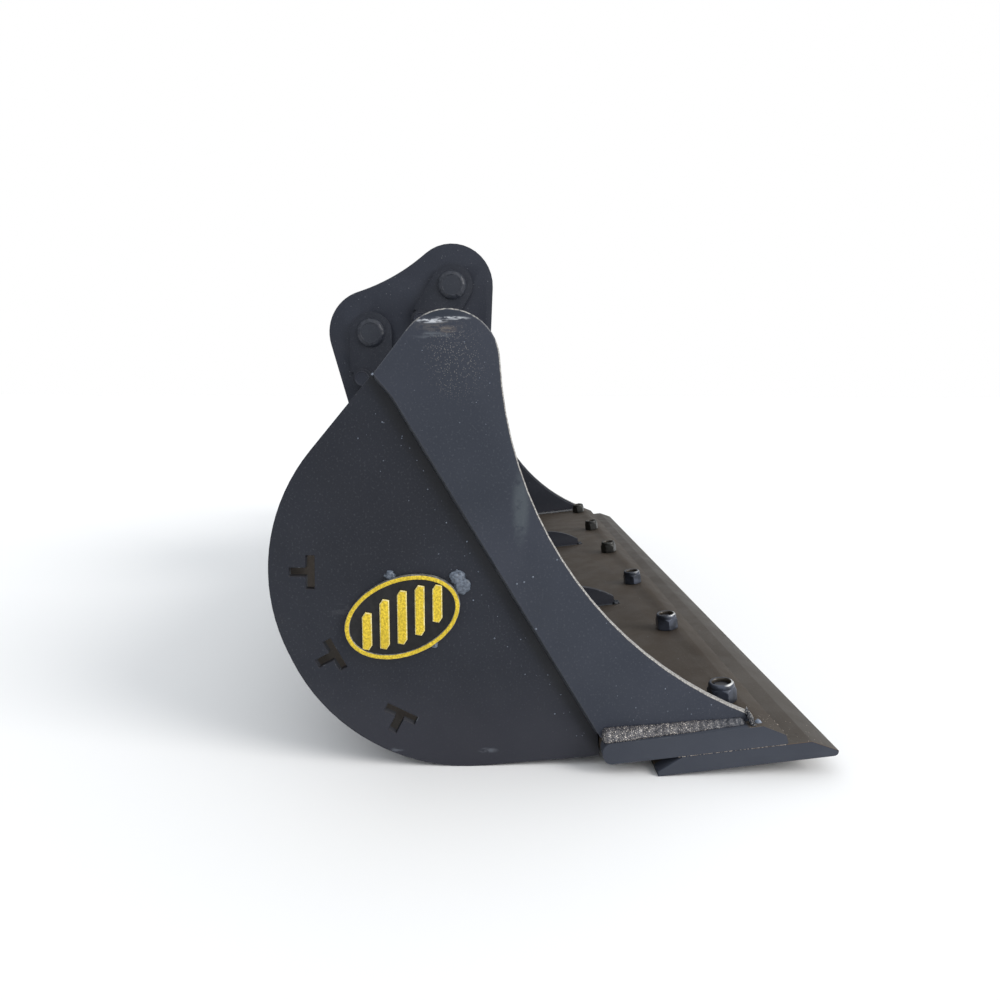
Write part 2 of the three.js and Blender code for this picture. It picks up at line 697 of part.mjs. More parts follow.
function pinWeld(pin) {
  const root = FLAG_OUT - GAP;
  const inner = PIN_R + GAP;
  const crown = root - PIN_WELD_HIGH;
  return turned([
    [inner, crown], [PIN_R + PIN_WELD_CROWN, crown + PIN_WELD_DOWN], [PIN_R + PIN_WELD_WIDE, root],
    [inner, root], [inner, crown],
  ], pin, SIDES);
}

function lockBolt(which) {
  const seat = FLAG_OUT - EYE_PROUD - GAP;
  const top = seat - LOCK_HEAD_HIGH;
  const end = -EAR_IN - LOCK_REACH;
  return turned([
    [0, top], [LOCK_HEAD_R - LOCK_HEAD_CHAMFER, top], [LOCK_HEAD_R, top + LOCK_HEAD_CHAMFER],
    [LOCK_HEAD_R, seat], [LOCK_R, seat], [LOCK_R, end - LOCK_TIP_CHAMFER],
    [LOCK_R - LOCK_TIP_CHAMFER, end], [0, end],
  ], eyeSpot(which), SMALL_SIDES);
}

for (const [which, pin] of [['front', PIN_FRONT], ['rear', REAR_PIN]]) {
  add(bucket, `pin_${which}`, pinBar(pin), 'steel');
  add(bucket, `pin_flag_${which}`, keeperFlag(pin, which), 'paint');
  add(bucket, `pin_weld_${which}`, pinWeld(pin), 'weld');
  add(bucket, `lock_bolt_${which}`, lockBolt(which), 'fastener');
}

// The origin is the bottom centre of the whole bucket's box.
const box = new THREE.Box3().setFromObject(bucket);
bucket.position.set(0, -(box.min.y + box.max.y) / 2, -box.min.z);

export default bucket;
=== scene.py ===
import json
import random
from math import acos, atan2, cos, pi, radians, sin, sqrt

import bmesh
import bpy
from mathutils import Euler, Matrix, Vector, noise

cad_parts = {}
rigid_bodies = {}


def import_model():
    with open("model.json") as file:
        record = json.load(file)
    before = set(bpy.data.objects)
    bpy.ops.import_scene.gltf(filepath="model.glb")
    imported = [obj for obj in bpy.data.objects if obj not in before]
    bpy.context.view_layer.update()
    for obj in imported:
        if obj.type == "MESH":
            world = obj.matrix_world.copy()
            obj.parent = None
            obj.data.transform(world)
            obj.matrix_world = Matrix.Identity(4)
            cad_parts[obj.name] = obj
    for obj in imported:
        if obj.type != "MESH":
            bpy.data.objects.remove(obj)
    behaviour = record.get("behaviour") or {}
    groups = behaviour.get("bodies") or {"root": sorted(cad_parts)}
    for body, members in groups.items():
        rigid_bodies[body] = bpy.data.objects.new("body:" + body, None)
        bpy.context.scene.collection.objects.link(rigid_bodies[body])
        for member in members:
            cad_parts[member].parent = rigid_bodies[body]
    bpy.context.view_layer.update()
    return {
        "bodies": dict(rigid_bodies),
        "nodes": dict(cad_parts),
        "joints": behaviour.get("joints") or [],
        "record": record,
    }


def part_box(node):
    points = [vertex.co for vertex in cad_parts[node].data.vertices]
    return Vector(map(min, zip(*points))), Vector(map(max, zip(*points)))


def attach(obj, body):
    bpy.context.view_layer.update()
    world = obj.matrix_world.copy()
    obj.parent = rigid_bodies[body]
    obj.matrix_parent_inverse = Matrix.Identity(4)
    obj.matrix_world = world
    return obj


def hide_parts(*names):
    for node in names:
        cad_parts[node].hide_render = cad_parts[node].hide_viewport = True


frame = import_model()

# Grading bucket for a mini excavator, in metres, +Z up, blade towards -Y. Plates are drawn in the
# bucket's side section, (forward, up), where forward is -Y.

SCENE = bpy.context.scene
NODES = frame["nodes"]
MM = 0.001

# ---- driving dimensions


def box_centre(node):
    low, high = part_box(node)
    return (low + high) / 2


PIN_FRONT = Vector((-0.0557, 0.6025))
ORIGIN_Y = box_centre("pin_front").y + PIN_FRONT.x


def section(node):
    """Centre of a node in the side section."""
    centre = box_centre(node)
    return Vector((ORIGIN_Y - centre.y, centre.z))


def span(node):
    """Lowest and highest X of a node."""
    return [corner.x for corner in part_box(node)]


def world(x, point):
    return Vector((x, ORIGIN_Y - point[0], point[1]))


def polar(centre, radius, angle):
    return Vector((centre[0] + radius * cos(angle), centre[1] + radius * sin(angle)))


HEEL_R = 210.5 * MM
HEEL_LOW = Vector((-16 * MM, HEEL_R))
HEEL_HIGH = Vector((-20 * MM, 219.5 * MM))
HEEL_JOIN = radians(204)
LOBE = section("torque_tube")
LOBE_R = 52.8 * MM
MOUTH_R = 440 * MM
MOUTH = polar(LOBE, LOBE_R + MOUTH_R, radians(3.2))
FLOOR_SLOPE = radians(4.62)
FLOOR_ANGLE = 1.5 * pi + FLOOR_SLOPE
FLOOR_LENGTH = 130.5 * MM
STRIP_BACK_TOP = Vector((-112.3 * MM, 433.9 * MM))
STRIP_BACK_KNEE = Vector((-93 * MM, 411 * MM))
STRIP_BACK_FOOT = -57 * MM
SHELL_OUTSET = 3 * MM
SHELL_THICK = 8 * MM
SHELL_TOP_CUT = 20 * MM
TUBE_R = 44.5 * MM
TUBE_WALL = 8 * MM
SIDE_IN, SIDE_OUT = span("side_plate_right")
STRIP_OUT = span("side_strip_right")[1]
BLADE_OUT = span("cutting_edge")[1]

BLADE_CORNER = Vector((192.1 * MM, 0))
BLADE_TILT = radians(6.6)
GAP = 0.3 * MM
EDGE_THICK = 20 * MM
EDGE_BEVEL_U = 171 * MM
LIP_REAR = -58 * MM
LIP_FRONT = 145 * MM
LIP_BEVEL_U = 119 * MM
MARGIN_FRONT = 104 * MM
LIP_BASE = EDGE_THICK + GAP
LIP_TOP = LIP_BASE + 24 * MM
BOLT_U = 97.5 * MM
BOLT_R = 10 * MM
BOLT_HEAD_R = 19 * MM
BOLT_HEAD_DEEP = 11 * MM
BOLT_SHORT = 4.2 * MM
NUT_FLATS = 30 * MM
NUT_HIGH = 23.5 * MM
NUT_TURNS = [8, 0, 0, 31, 44, 43]
# Share of a painted highlight on the front of each nut's rim.
NUT_RIM_HIGHLIGHT = [1.0, 0.9, 0.35, 0, 0, 0]

PINS = {"front": "front_pin", "rear": "rear_pin"}
PIN_R = 20 * MM
BUSH_R = 27.5 * MM
BOSS_R = 45 * MM

BADGE_LONG = 64.8 * MM
BADGE_SHORT = 43.4 * MM
BADGE_THICK = 7 * MM
BADGE_TURN = radians(22)

# Legs of the fillet welds.
LIP_LEG = 13.2 * MM
TOE_LEG = 6 * MM
SEAM_LEG = 11 * MM
UNDER_LEG = 4.5 * MM
SHELL_LEG = 6 * MM
SHELL_OUTER_LEG = 2.8 * MM
STRIP_LEG = 3.6 * MM
RIB_LIP_LEG = 2.6 * MM
RIB_LEG = 4 * MM
EAR_LEG = 7 * MM
BOSS_LEG = 4 * MM
BRACE_LEG = 6 * MM
BRACE_SIDE_LEG = 5 * MM


def touching_normal(low, low_r, high, high_r):
    """Angle of the outward normal of the line that touches two circles on their left."""
    line = high - low
    lean = acos((low_r - high_r) / line.length)
    return atan2(line.y, line.x) + lean


BACK_NORMAL = touching_normal(HEEL_HIGH, HEEL_R, LOBE, LOBE_R)


def on_blade(u, v):
    c, s = cos(BLADE_TILT), sin(BLADE_TILT)
    return BLADE_CORNER + Vector((u * c - v * s, u * s + v * c))


U_WAY = Vector((cos(BLADE_TILT), sin(BLADE_TILT)))
V_WAY = Vector((-U_WAY.y, U_WAY.x))
STRIP_FOOT = on_blade(STRIP_BACK_FOOT, LIP_TOP)
STRIP_BACK_WAY = (STRIP_BACK_KNEE - STRIP_FOOT).normalized()
STRIP_REARWARD = Vector((-STRIP_BACK_WAY.y, STRIP_BACK_WAY.x))


# ---- camera, light and floor


def make_camera():
    data = bpy.data.cameras.new("camera")
    data.lens = 27.0
    data.sensor_width = 36.0
    camera = bpy.data.objects.new("camera", data)
    camera.location = (-1.5124, ORIGIN_Y, 0.4215)
    camera.rotation_euler = Euler([radians(a) for a in (81.4176541, -0.1960858, -91.2990395)])
    SCENE.collection.objects.link(camera)
    SCENE.camera = camera


def soft_sun(name, aim, spread, strength, colour):
    """A soft light from far away that shines along aim. spread is its width in degrees."""
    data = bpy.data.lights.new(name, "SUN")
    data.angle = radians(spread)
    data.energy = strength
    data.color = colour
    light = bpy.data.objects.new(name, data)
    light.rotation_euler = Vector(aim).to_track_quat("-Z", "Y").to_euler()
    SCENE.collection.objects.link(light)


def make_world():
    sky = bpy.data.worlds.new("studio")
    sky.use_nodes = True
    tree = sky.node_tree
    background = tree.nodes["Background"]
    background.inputs["Color"].default_value = (0.86, 0.93, 1.0, 1)
    background.inputs["Strength"].default_value = 0.2
    white = tree.nodes.new("ShaderNodeBackground")
    white.inputs["Color"].default_value = (1, 1, 1, 1)
    path = tree.nodes.new("ShaderNodeLightPath")
    pick = tree.nodes.new("ShaderNodeMixShader")
    tree.links.new(path.outputs["Is Camera Ray"], pick.inputs["Fac"])
    tree.links.new(background.outputs[0], pick.inputs[1])
    tree.links.new(white.outputs[0], pick.inputs[2])
    tree.links.new(pick.outputs[0], tree.nodes["World Output"].inputs["Surface"])
    SCENE.world = sky
    SCENE.view_settings.view_transform = "Standard"


def make_floor():
    mesh = bpy.data.meshes.new("floor")
    half = 30.0
    corners = [(-half, -half, 0), (half, -half, 0), (half, half, 0), (-half, half, 0)]
    mesh.from_pydata(corners, [], [(0, 1, 2, 3)])
    floor = bpy.data.objects.new("floor", mesh)
    SCENE.collection.objects.link(floor)
    material = bpy.data.materials.new("floor")
    material.use_nodes = True
    shader = material.node_tree.nodes["Principled BSDF"]
    shader.inputs["Base Color"].default_value = (0.9, 0.9, 0.9, 1)
    shader.inputs["Roughness"].default_value = 0.9
    mesh.materials.append(material)


make_camera()
make_world()
make_floor()
soft_sun("key", (0.42, 0.76, -0.50), 28, 1.75, (1.0, 0.97, 0.94))
soft_sun("overhead", (0.14, 0.1, -1), 150, 2.45, (0.96, 0.98, 1.0))

# ---- materials


class Graph:
    """Shader nodes of one material. Values are sockets or plain numbers."""

    def __init__(self, name, shine=0.5, metallic=0.0):
        self.material = bpy.data.materials.new(name)
        self.material.use_nodes = True
        self.tree = self.material.node_tree
        self.shader = self.tree.nodes["Principled BSDF"]
        self.shader.inputs["Specular IOR Level"].default_value = shine
        self.shader.inputs["Metallic"].default_value = metallic
        self.place = self.node("ShaderNodeTexCoord").outputs["Object"]

    def node(self, kind, inputs=(), **settings):
        """A new node. inputs pairs its sockets with their values."""
        node = self.tree.nodes.new(kind)
        for key, value in settings.items():
            setattr(node, key, value)
        for key, value in dict(inputs).items():
            self.put(value, node.inputs[key])
        return node

    def put(self, value, socket):
        if isinstance(value, bpy.types.NodeSocket):
            self.tree.links.new(value, socket)
        elif hasattr(value, "__len__") and socket.type == "RGBA" and len(value) == 3:
            socket.default_value = (*value, 1)
        else:
            socket.default_value = value

    def math(self, operation, *values):
        return self.node("ShaderNodeMath", enumerate(values), operation=operation).outputs[0]

    def times(self, product, *values):
        for value in values:
            product = self.math("MULTIPLY", product, value)
        return product

    def vector(self, operation, value, constant=(0, 0, 0), output="Vector"):
        """Vector math on a socket and a constant."""
        node = self.node("ShaderNodeVectorMath", {0: value, 1: constant}, operation=operation)
        return node.outputs[output]

    def axis(self, name, vector=None):
        """One coordinate of a vector, or of the place on the object."""
        return self.node("ShaderNodeSeparateXYZ", {0: vector or self.place}).outputs[name]

    def facing(self, name):
        """One coordinate of the direction in which the surface faces."""
        return self.axis(name, self.node("ShaderNodeNewGeometry").outputs["Normal"])

    def moved(self, place, scale=(1, 1, 1)):
        inputs = {"Vector": self.place, "Location": place, "Scale": scale}
        return self.node("ShaderNodeMapping", inputs).outputs[0]

    def noise(self, scale, detail=3.0, stretch=(1, 1, 1), rough=0.5, shift=0.0, warp=0.0):
        place = self.moved((shift, shift * 1.7, -shift), stretch)
        inputs = {"Vector": place, "Scale": scale, "Detail": detail, "Roughness": rough, "Distortion": warp}
        return self.node("ShaderNodeTexNoise", inputs).outputs["Fac"]

    def band(self, value, low, high, to_low=0.0, to_high=1.0):
        """value from low..high, mapped smoothly to to_low..to_high."""
        inputs = {"Value": value, "From Min": low, "From Max": high, "To Min": to_low, "To Max": to_high}
        return self.node("ShaderNodeMapRange", inputs, interpolation_type="SMOOTHSTEP").outputs["Result"]

    def mix(self, factor, a, b):
        node = self.node("ShaderNodeMix", data_type="RGBA")
        colours = [s for s in node.inputs if s.type == "RGBA"]
        self.put(factor, node.inputs["Factor"])
        self.put(a, colours[0])
        self.put(b, colours[1])
        return [s for s in node.outputs if s.type == "RGBA"][0]

    def section_distance(self, point):
        """Distance from a point of the side section, whatever the X."""
        flat = self.vector("MULTIPLY", self.place, (0, 1, 1))
        return self.vector("DISTANCE", flat, world(0, point), "Value")

    def patch(self, under, point, radii, share, colour, grain, dots=False, long=1.0):
        """A ragged oval of wear round a point of the side section, or an oval of small dots. long
        draws its grain out level."""
        offset = self.vector("SUBTRACT", self.place, world(0, point))
        scaled = self.vector("MULTIPLY", offset, (0, 1 / radii[0], 1 / radii[1]))
        inside = self.band(self.vector("LENGTH", scaled, output="Value"), 1.0, 0.3)
        if dots:
            worn = self.specks(grain, 0.3, share, shift=point[1])
        else:
            ragged = self.noise(grain, 4, (1, 1 / long, 1), shift=point[1])
            worn = self.band(ragged, 0.42, 0.56, 0, share)
        return self.mix(self.times(inside, worn), under, colour)

    def beyond(self, point, way):
        """Distance past a point of the side section, measured along way in the section."""
        offset = self.vector("SUBTRACT", self.place, world(0, point))
        return self.vector("DOT_PRODUCT", offset, (0, -way[0], way[1]), "Value")

    def end_faces(self):
        """1 on faces along X and on the lip's painted margin outside the strips, 0 elsewhere."""
        sideways = self.band(self.math("ABSOLUTE", self.facing("X")), 0.6, 0.85)
        outwards = self.math("ABSOLUTE", self.axis("X"))
        margin = self.band(outwards, STRIP_OUT - 4 * MM, STRIP_OUT - 2 * MM)
        behind = self.band(self.beyond(on_blade(MARGIN_FRONT, 0), U_WAY), 3 * MM, -3 * MM)
        return self.math("MAXIMUM", sideways, self.times(margin, behind))

    def specks(self, scale, size, share, shift=0.0):
        """Small round dots, on a share of the cells of a Voronoi pattern."""
        place = self.moved((shift, shift, shift))
        cells = self.node("ShaderNodeTexVoronoi", {"Vector": place, "Scale": scale})
        dot = self.band(cells.outputs["Distance"], size, size * 0.6)
        split = self.node("ShaderNodeSeparateColor", {0: cells.outputs["Color"]})
        return self.times(dot, self.math("LESS_THAN", split.outputs[0], share))

    def mottled(self, mottle, dark, light):
        return self.mix(self.band(mottle, 0.3, 0.7), dark, light)

    def bump(self, height, strength, distance):
        node = self.node("ShaderNodeBump", {"Height": height, "Strength": strength, "Distance": distance})
        previous = self.shader.inputs["Normal"]
        if previous.is_linked:
            self.put(previous.links[0].from_socket, node.inputs["Normal"])
        self.put(node.outputs[0], self.shader.inputs["Normal"])

    def finish(self, colour, rough):
        self.put(colour, self.shader.inputs["Base Color"])
        self.put(rough, self.shader.inputs["Roughness"])
        return self.material


DUST = (0.165, 0.130, 0.098)
CHALK = (0.30, 0.31, 0.33)
SLATE = ((0.034, 0.039, 0.053), (0.044, 0.050, 0.066))
WORN = (0.10, 0.11, 0.125)
# Colour of the painted highlight on the blade's front bevels.
BEVEL_HIGHLIGHT = (0.105, 0.098, 0.090)
NUT_BLUE = ((0.022, 0.026, 0.036), (0.070, 0.080, 0.108))
NUT_OLIVE = ((0.019, 0.019, 0.018), (0.034, 0.034, 0.031))


def paint(name, dark, light, dust=0.5, rough=(0.42, 0.62), worn=0.0, shine=0.3, patches=(),
          ends=None, bevel=None, shade=False):
    """Shop paint over plate: mottled, dusty on top, with light scratches and specks. worn shows bare
    steel, ends is the colour of faces along X, and bevel is where a front bevel starts and how much
    of a painted highlight it takes. The last flag adds a side plate's painted shadow behind its cutter
    strip and a painted floor reflection that lightens it near the ground."""
    g = Graph(name, shine)
    mottle = g.noise(5, 4, warp=0.6)
    colour = g.mottled(mottle, dark, light)
    grain = g.noise(420, 2)
    colour = g.mix(g.band(grain, 0.55, 0.75, 0, 0.06), colour, CHALK)
    uneven = g.band(g.noise(14, 5, shift=3), 0.25, 0.75, 0.7, 1)
    colour = g.mix(g.times(g.band(g.facing("Z"), 0.1, 0.95), uneven, dust), colour, DUST)
    # Painted highlight: faces ahead of a front bevel's start are coloured lighter, as if catching the
    # light.
    if bevel:
        start, share = bevel
        front = g.beyond(on_blade(start, 0), U_WAY)
        colour = g.mix(g.band(front, -1 * MM, 1 * MM, 0, share), colour, BEVEL_HIGHLIGHT)
    if ends:
        chips = g.specks(26, 0.11, 0.06, shift=2)
        colour = g.mix(chips, colour, (0.014, 0.012, 0.010))
        colour = g.mix(g.end_faces(), colour, g.mottled(mottle, *ends))
    streaks = g.band(g.noise(60, 2, (1, 0.3, 2.0), shift=7), 0.68, 0.72)
    colour = g.mix(g.times(streaks, g.band(g.noise(6, 2, shift=11), 0.58, 0.70), 0.08), colour, CHALK)
    # Side plates get a painted shadow behind the cutter strip and a painted floor reflection near the
    # ground.
    if shade:
        colour = side_shade(g, colour)
    specks = g.specks(150, 0.14, 0.045)
    colour = g.mix(g.times(specks, 0.5), colour, CHALK)
    for patch in patches:
        colour = g.patch(colour, *patch)
    if worn:
        wear = g.band(g.noise(90, 4, shift=5), 0.62 - 0.3 * worn, 0.70 - 0.3 * worn)
        colour = g.mix(wear, colour, WORN)
    roughness = g.band(g.noise(22, 4, shift=2), 0.3, 0.7, *rough)
    g.bump(grain, 0.10, 0.3 * MM)
    if not ends:
        g.bump(mottle, 0.12, 0.8 * MM)
    g.bump(specks, 0.5, 0.3 * MM)
    return g.finish(colour, roughness)


def side_shade(g, colour):
    """Paint of a side plate, lighter near the ground as a painted floor reflection and dark behind
    its cutter strip as the strip's painted shadow.
    """
    # Painted floor reflection: the plate is coloured lighter towards the bottom.
    low = g.band(g.axis("Z"), 0.13, 0.02, 0, 0.75)
    colour = g.mix(low, colour, (0.0265, 0.0275, 0.0375))
    # Painted shadow of the cutter strip: a dark band on the plate just behind the strip's rear edge.
    past = g.beyond(STRIP_BACK_KNEE, STRIP_REARWARD)
    near = g.band(past, 21 * MM, 8 * MM, 0, 0.7)
    behind = g.math("GREATER_THAN", past, 0)
    return g.mix(g.times(near, behind), colour, (0.0055, 0.0060, 0.0075))


def bare_steel(g):
    """Colour of rubbed steel: grey-beige with a fine grain."""
    grain = g.band(g.noise(520, 3, shift=1), 0.35, 0.65)
    return g.mix(grain, (0.17, 0.16, 0.152), (0.41, 0.395, 0.37))


def worn_rim(name, look):
    """Strip paint with bare steel along the mouth, and a thin line of it over the rounded top."""
    g = Graph(name)
    colour = g.mottled(g.noise(5, 4, warp=0.6), look["dark"], look["light"])
    mouth = g.band(g.section_distance(MOUTH), MOUTH_R + 5 * MM, MOUTH_R + 3 * MM)
    high = g.axis("Z")
    top = g.band(high, LOBE.y + 36 * MM, LOBE.y + 51 * MM, 0.25, 1)
    above = g.math("GREATER_THAN", high, LOBE.y + 30 * MM)
    crown = g.times(top, above, g.band(g.noise(160, 3, shift=5), 0.36, 0.5, 0.2, 1))
    rubbed = g.times(mouth, g.band(g.noise(140, 4, shift=5), 0.2, 0.32))
    bare = g.math("MAXIMUM", rubbed, crown)
    g.bump(g.noise(700, 3), 0.5, 0.3 * MM)
    return g.finish(g.mix(bare, colour, bare_steel(g)), g.band(bare, 0, 1, 0.5, 0.42))


def weld_metal(name, dark, light, glint=0.0, rough=(0.3, 0.55), shine=0.5, scale=300, fade=False):
    """Weld bead: mottled, with fine glints where slag and spatter catch the light. fade dulls them
    towards the blade's front."""
    g = Graph(name, shine)
    fine = g.noise(scale, 4, rough=0.6)
    colour = g.mix(g.band(fine, 0.35, 0.65), dark, light)
    colour = g.mix(g.band(g.noise(30, 3, shift=4), 0.4, 0.7, 0, 0.4), colour, dark)
    if glint:
        spots = g.band(g.noise(scale * 2.2, 2, shift=9), 0.58, 0.68, 0, glint)
        if fade:
            ahead = g.beyond(on_blade(30 * MM, 0), U_WAY)
            spots = g.times(spots, g.band(ahead, 0, 60 * MM, 1, 0.2))
            colour = g.mix(g.band(ahead, 0, 70 * MM, 0, 0.8), colour, SLATE[0])
        colour = g.mix(spots, colour, (0.85, 0.78, 0.70))
    g.bump(fine, 0.6, 0.6 * MM)
    g.bump(g.noise(scale * 3, 2, shift=6), 0.5, 0.2 * MM)
    return g.finish(colour, g.band(g.noise(40, 3, shift=8), 0.3, 0.7, *rough))


def nut_steel(name, node, rubbed):
    """Dark zinc flake on a lock nut, with a painted highlight on the front of its rim, by a share,
    and dusty inside.
    """
    g = Graph(name, metallic=0.3)
    dark, light = NUT_BLUE if rubbed else NUT_OLIVE
    colour = g.mix(g.band(g.noise(60, 4), 0.35, 0.65), dark, light)
    up = g.beyond(on_blade(0, LIP_TOP + GAP), V_WAY)
    offset = g.vector("SUBTRACT", g.place, box_centre(node))
    spin = g.vector("CROSS_PRODUCT", offset, (0, -V_WAY.x, V_WAY.y))
    radius = g.vector("LENGTH", spin, output="Value")
    inside = g.band(radius, 12 * MM, 11 * MM)
    high = g.band(up, NUT_HIGH - 6 * MM, NUT_HIGH - 4 * MM)
    colour = g.mix(g.times(inside, high), colour, (0.050, 0.042, 0.033))
    # Painted highlight: the rim's front, which faces the key light, is coloured near white.
    if rubbed:
        front = g.vector("DOT_PRODUCT", offset, (-0.5, -0.86, 0), "Value")
        rim = g.times(
            g.band(up, NUT_HIGH - 1.8 * MM, NUT_HIGH - 0.8 * MM), g.band(radius, 11 * MM, 11.8 * MM),
            g.band(front, 4 * MM, 10 * MM, 0, rubbed), g.band(g.noise(140, 3, shift=6), 0.36, 0.50))
        colour = g.mix(rim, colour, (0.66, 0.66, 0.64))
    g.bump(g.noise(500, 3), 0.2, 0.2 * MM)
    return g.finish(colour, g.band(g.noise(80, 3, shift=2), 0.3, 0.7, 0.28, 0.45))


PAINTS = {
    "side_paint": dict(dark=(0.0105, 0.0122, 0.0188), light=(0.0145, 0.0170, 0.0255), dust=0.1),
    "strip_paint": dict(dark=(0.025, 0.030, 0.043), light=(0.033, 0.038, 0.054), dust=0.1),
    "inside_paint": dict(
        dark=(0.033, 0.025, 0.0185), light=(0.046, 0.036, 0.0265), dust=0.07, rough=(0.6, 0.8), ends=SLATE,
        bevel=(LIP_BEVEL_U, 0.12)),
    "ear_paint": dict(dark=(0.0160, 0.0188, 0.0290), light=(0.0235, 0.0275, 0.0405), dust=0.1),
    "edge_paint": dict(
        dark=(0.033, 0.028, 0.0235), light=(0.045, 0.039, 0.033), dust=0.12, rough=(0.5, 0.7), ends=SLATE,
        bevel=(EDGE_BEVEL_U, 0.36)),
    "fastener_steel": dict(
        dark=(0.020, 0.023, 0.030), light=(0.034, 0.038, 0.048), dust=0.1, rough=(0.25, 0.45)),
    "pin_steel": dict(dark=(0.020, 0.023, 0.032), light=(0.030, 0.034, 0.045), dust=0.1),
}
LOOKS = {slot: dict(look) for slot, look in PAINTS.items()}
# Patches of wear: centre, radii, share, colour, grain, dots, long.
LOOKS["strip_paint"]["patches"] = [
    ((-0.042, 0.4950), (0.034, 0.0055), 0.8, (0.018, 0.024, 0.036), 12),
    ((-0.045, 0.4820), (0.030, 0.0090), 0.45, (0.105, 0.100, 0.098), 260, False, 3),
    ((-0.053, 0.4872), (0.020, 0.0030), 0.85, (0.58, 0.60, 0.64), 620, False, 4),
    ((-0.031, 0.4900), (0.023, 0.0024), 0.80, (0.50, 0.52, 0.55), 620, False, 5),
    ((-0.051, 0.4728), (0.024, 0.0050), 0.6, (0.115, 0.130, 0.150), 170, False, 4),
    ((-0.036, 0.4790), (0.012, 0.0050), 0.6, (0.13, 0.11, 0.098), 300, False, 2),
    ((-0.028, 0.447), (0.040, 0.052), 0.28, (0.14, 0.138, 0.135), 560, True),
    ((-0.037, 0.464), (0.028, 0.026), 0.45, (0.22, 0.21, 0.20), 640, True),
    ((0.006, 0.455), (0.024, 0.052), 1.0, (0.060, 0.078, 0.090), 0.5),
    ((0.040, 0.296), (0.012, 0.050), 0.4, (0.10, 0.12, 0.13), 60),
]
LOOKS["side_paint"]["patches"] = [
    ((-0.0955, 0.0205), (0.009, 0.004), 0.7, (0.10, 0.11, 0.13), 260, False, 3),
    ((0.006, 0.0190), (0.014, 0.004), 0.7, (0.10, 0.11, 0.13), 260, False, 3),
]
# Side plates carry the painted shadow behind the strip and the painted floor reflection.
LOOKS["side_paint"]["shade"] = True
FINISH = {slot: paint(slot, **look) for slot, look in LOOKS.items()}
EDGES = {slot: paint(slot + "_edge", worn=0.12, **look) for slot, look in PAINTS.items()}
EDGES["edge_paint"] = paint(
    "edge_nose", (0.070, 0.038, 0.020), (0.105, 0.062, 0.035), rough=(0.7, 0.9), shine=0.1, ends=SLATE)
FLAG_PAINT = paint("flag_paint", (0.0115, 0.0137, 0.0205), (0.0170, 0.0200, 0.0300), dust=0.1)
EDGES["ear_paint"] = FINISH["ear_paint"]
WORN_RIM = worn_rim("strip_rim", PAINTS["strip_paint"])
PAINTED_WELD = weld_metal("painted_weld", (0.010, 0.012, 0.018), (0.020, 0.024, 0.032), shine=0.4)
DUSTY_WELD = weld_metal(
    "dusty_weld", (0.030, 0.023, 0.017), (0.048, 0.037, 0.028), rough=(0.6, 0.8), shine=0.3)
DARK_WELD = weld_metal(
    "dark_weld", (0.006, 0.007, 0.012), (0.020, 0.024, 0.036), glint=0.35, rough=(0.15, 0.4), shine=1.0)
PALE_WELD = weld_metal("pale_weld", (0.055, 0.068, 0.092), (0.16, 0.19, 0.24), shine=0.6)
BRIGHT_DROP = weld_metal("bright_drop", (0.12, 0.15, 0.20), (0.24, 0.27, 0.33), shine=0.6)
PIN_WELD = weld_metal(
    "pin_weld", (0.016, 0.019, 0.028), (0.028, 0.032, 0.044), rough=(0.4, 0.6), shine=0.45, scale=90)
BADGE_BLACK = weld_metal("badge_black", (0.006, 0.006, 0.007), (0.012, 0.012, 0.013), shine=0.3, scale=150)
BADGE_SIDE = weld_metal("badge_side", (0.10, 0.10, 0.09), (0.32, 0.31, 0.28), scale=250)
BADGE_PALE = weld_metal("badge_pale", (0.60, 0.47, 0.10), (0.85, 0.76, 0.42), scale=400)
SAND = weld_metal("sand", (0.24, 0.19, 0.15), (0.72, 0.64, 0.55), rough=(0.8, 0.95), shine=0.2)
LIP_WELD = weld_metal(
    "weld_paint", (0.022, 0.023, 0.032), (0.095, 0.090, 0.098), glint=1.0, shine=0.7, scale=420, fade=True)
YELLOW = weld_metal(
    "badge_paint", (0.46, 0.33, 0.02), (0.82, 0.60, 0.04), scale=450, shine=0.3)

# ---- mesh helpers


def piece(name, skin, slot, body="bucket", replaces=(), finish=(), smooth=True, sharp=None):
    """A closed mesh that rides on a body, in the finish of a slot. sharp is the angle in degrees past
    which its edges stay crisp."""
    points, faces = skin
    mesh = bpy.data.meshes.new(name)
    mesh.from_pydata([tuple(p) for p in points], [], faces)
    shape = bmesh.new()
    shape.from_mesh(mesh)
    bmesh.ops.recalc_face_normals(shape, faces=shape.faces)
    shape.to_mesh(mesh)
    shape.free()
    for face in mesh.polygons:
        face.use_smooth = smooth
    if sharp:
        mesh.set_sharp_from_angle(angle=radians(sharp))
    thing = bpy.data.objects.new(name, mesh)
    SCENE.collection.objects.link(thing)
    for material in finish or [FINISH[slot]]:
        mesh.materials.append(material)
    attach(thing, body)
    if replaces:
        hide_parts(*replaces)
    return thing


def round_edges(thing, width, segments, angle):
    edge = thing.modifiers.new("edge", "BEVEL")
    edge.width = width
    edge.segments = segments
    edge.limit_method = "ANGLE"
    edge.angle_limit = radians(angle)
    edge.harden_normals = True
    return edge


def loft(rings, loop=False):
    """Closed skin over rings of equal length, with flat ends unless the rings join up."""
    count = len(rings[0])
    faces = []
    for i in range(len(rings) if loop else len(rings) - 1):
        here, there = i * count, (i + 1) % len(rings) * count
        for j in range(count):
            k = (j + 1) % count
            faces.append((here + j, here + k, there + k, there + j))
    if not loop:
        faces.append(tuple(range(count)))
        faces.append(tuple(range((len(rings) - 1) * count, len(rings) * count)))
    return [p for ring in rings for p in ring], faces


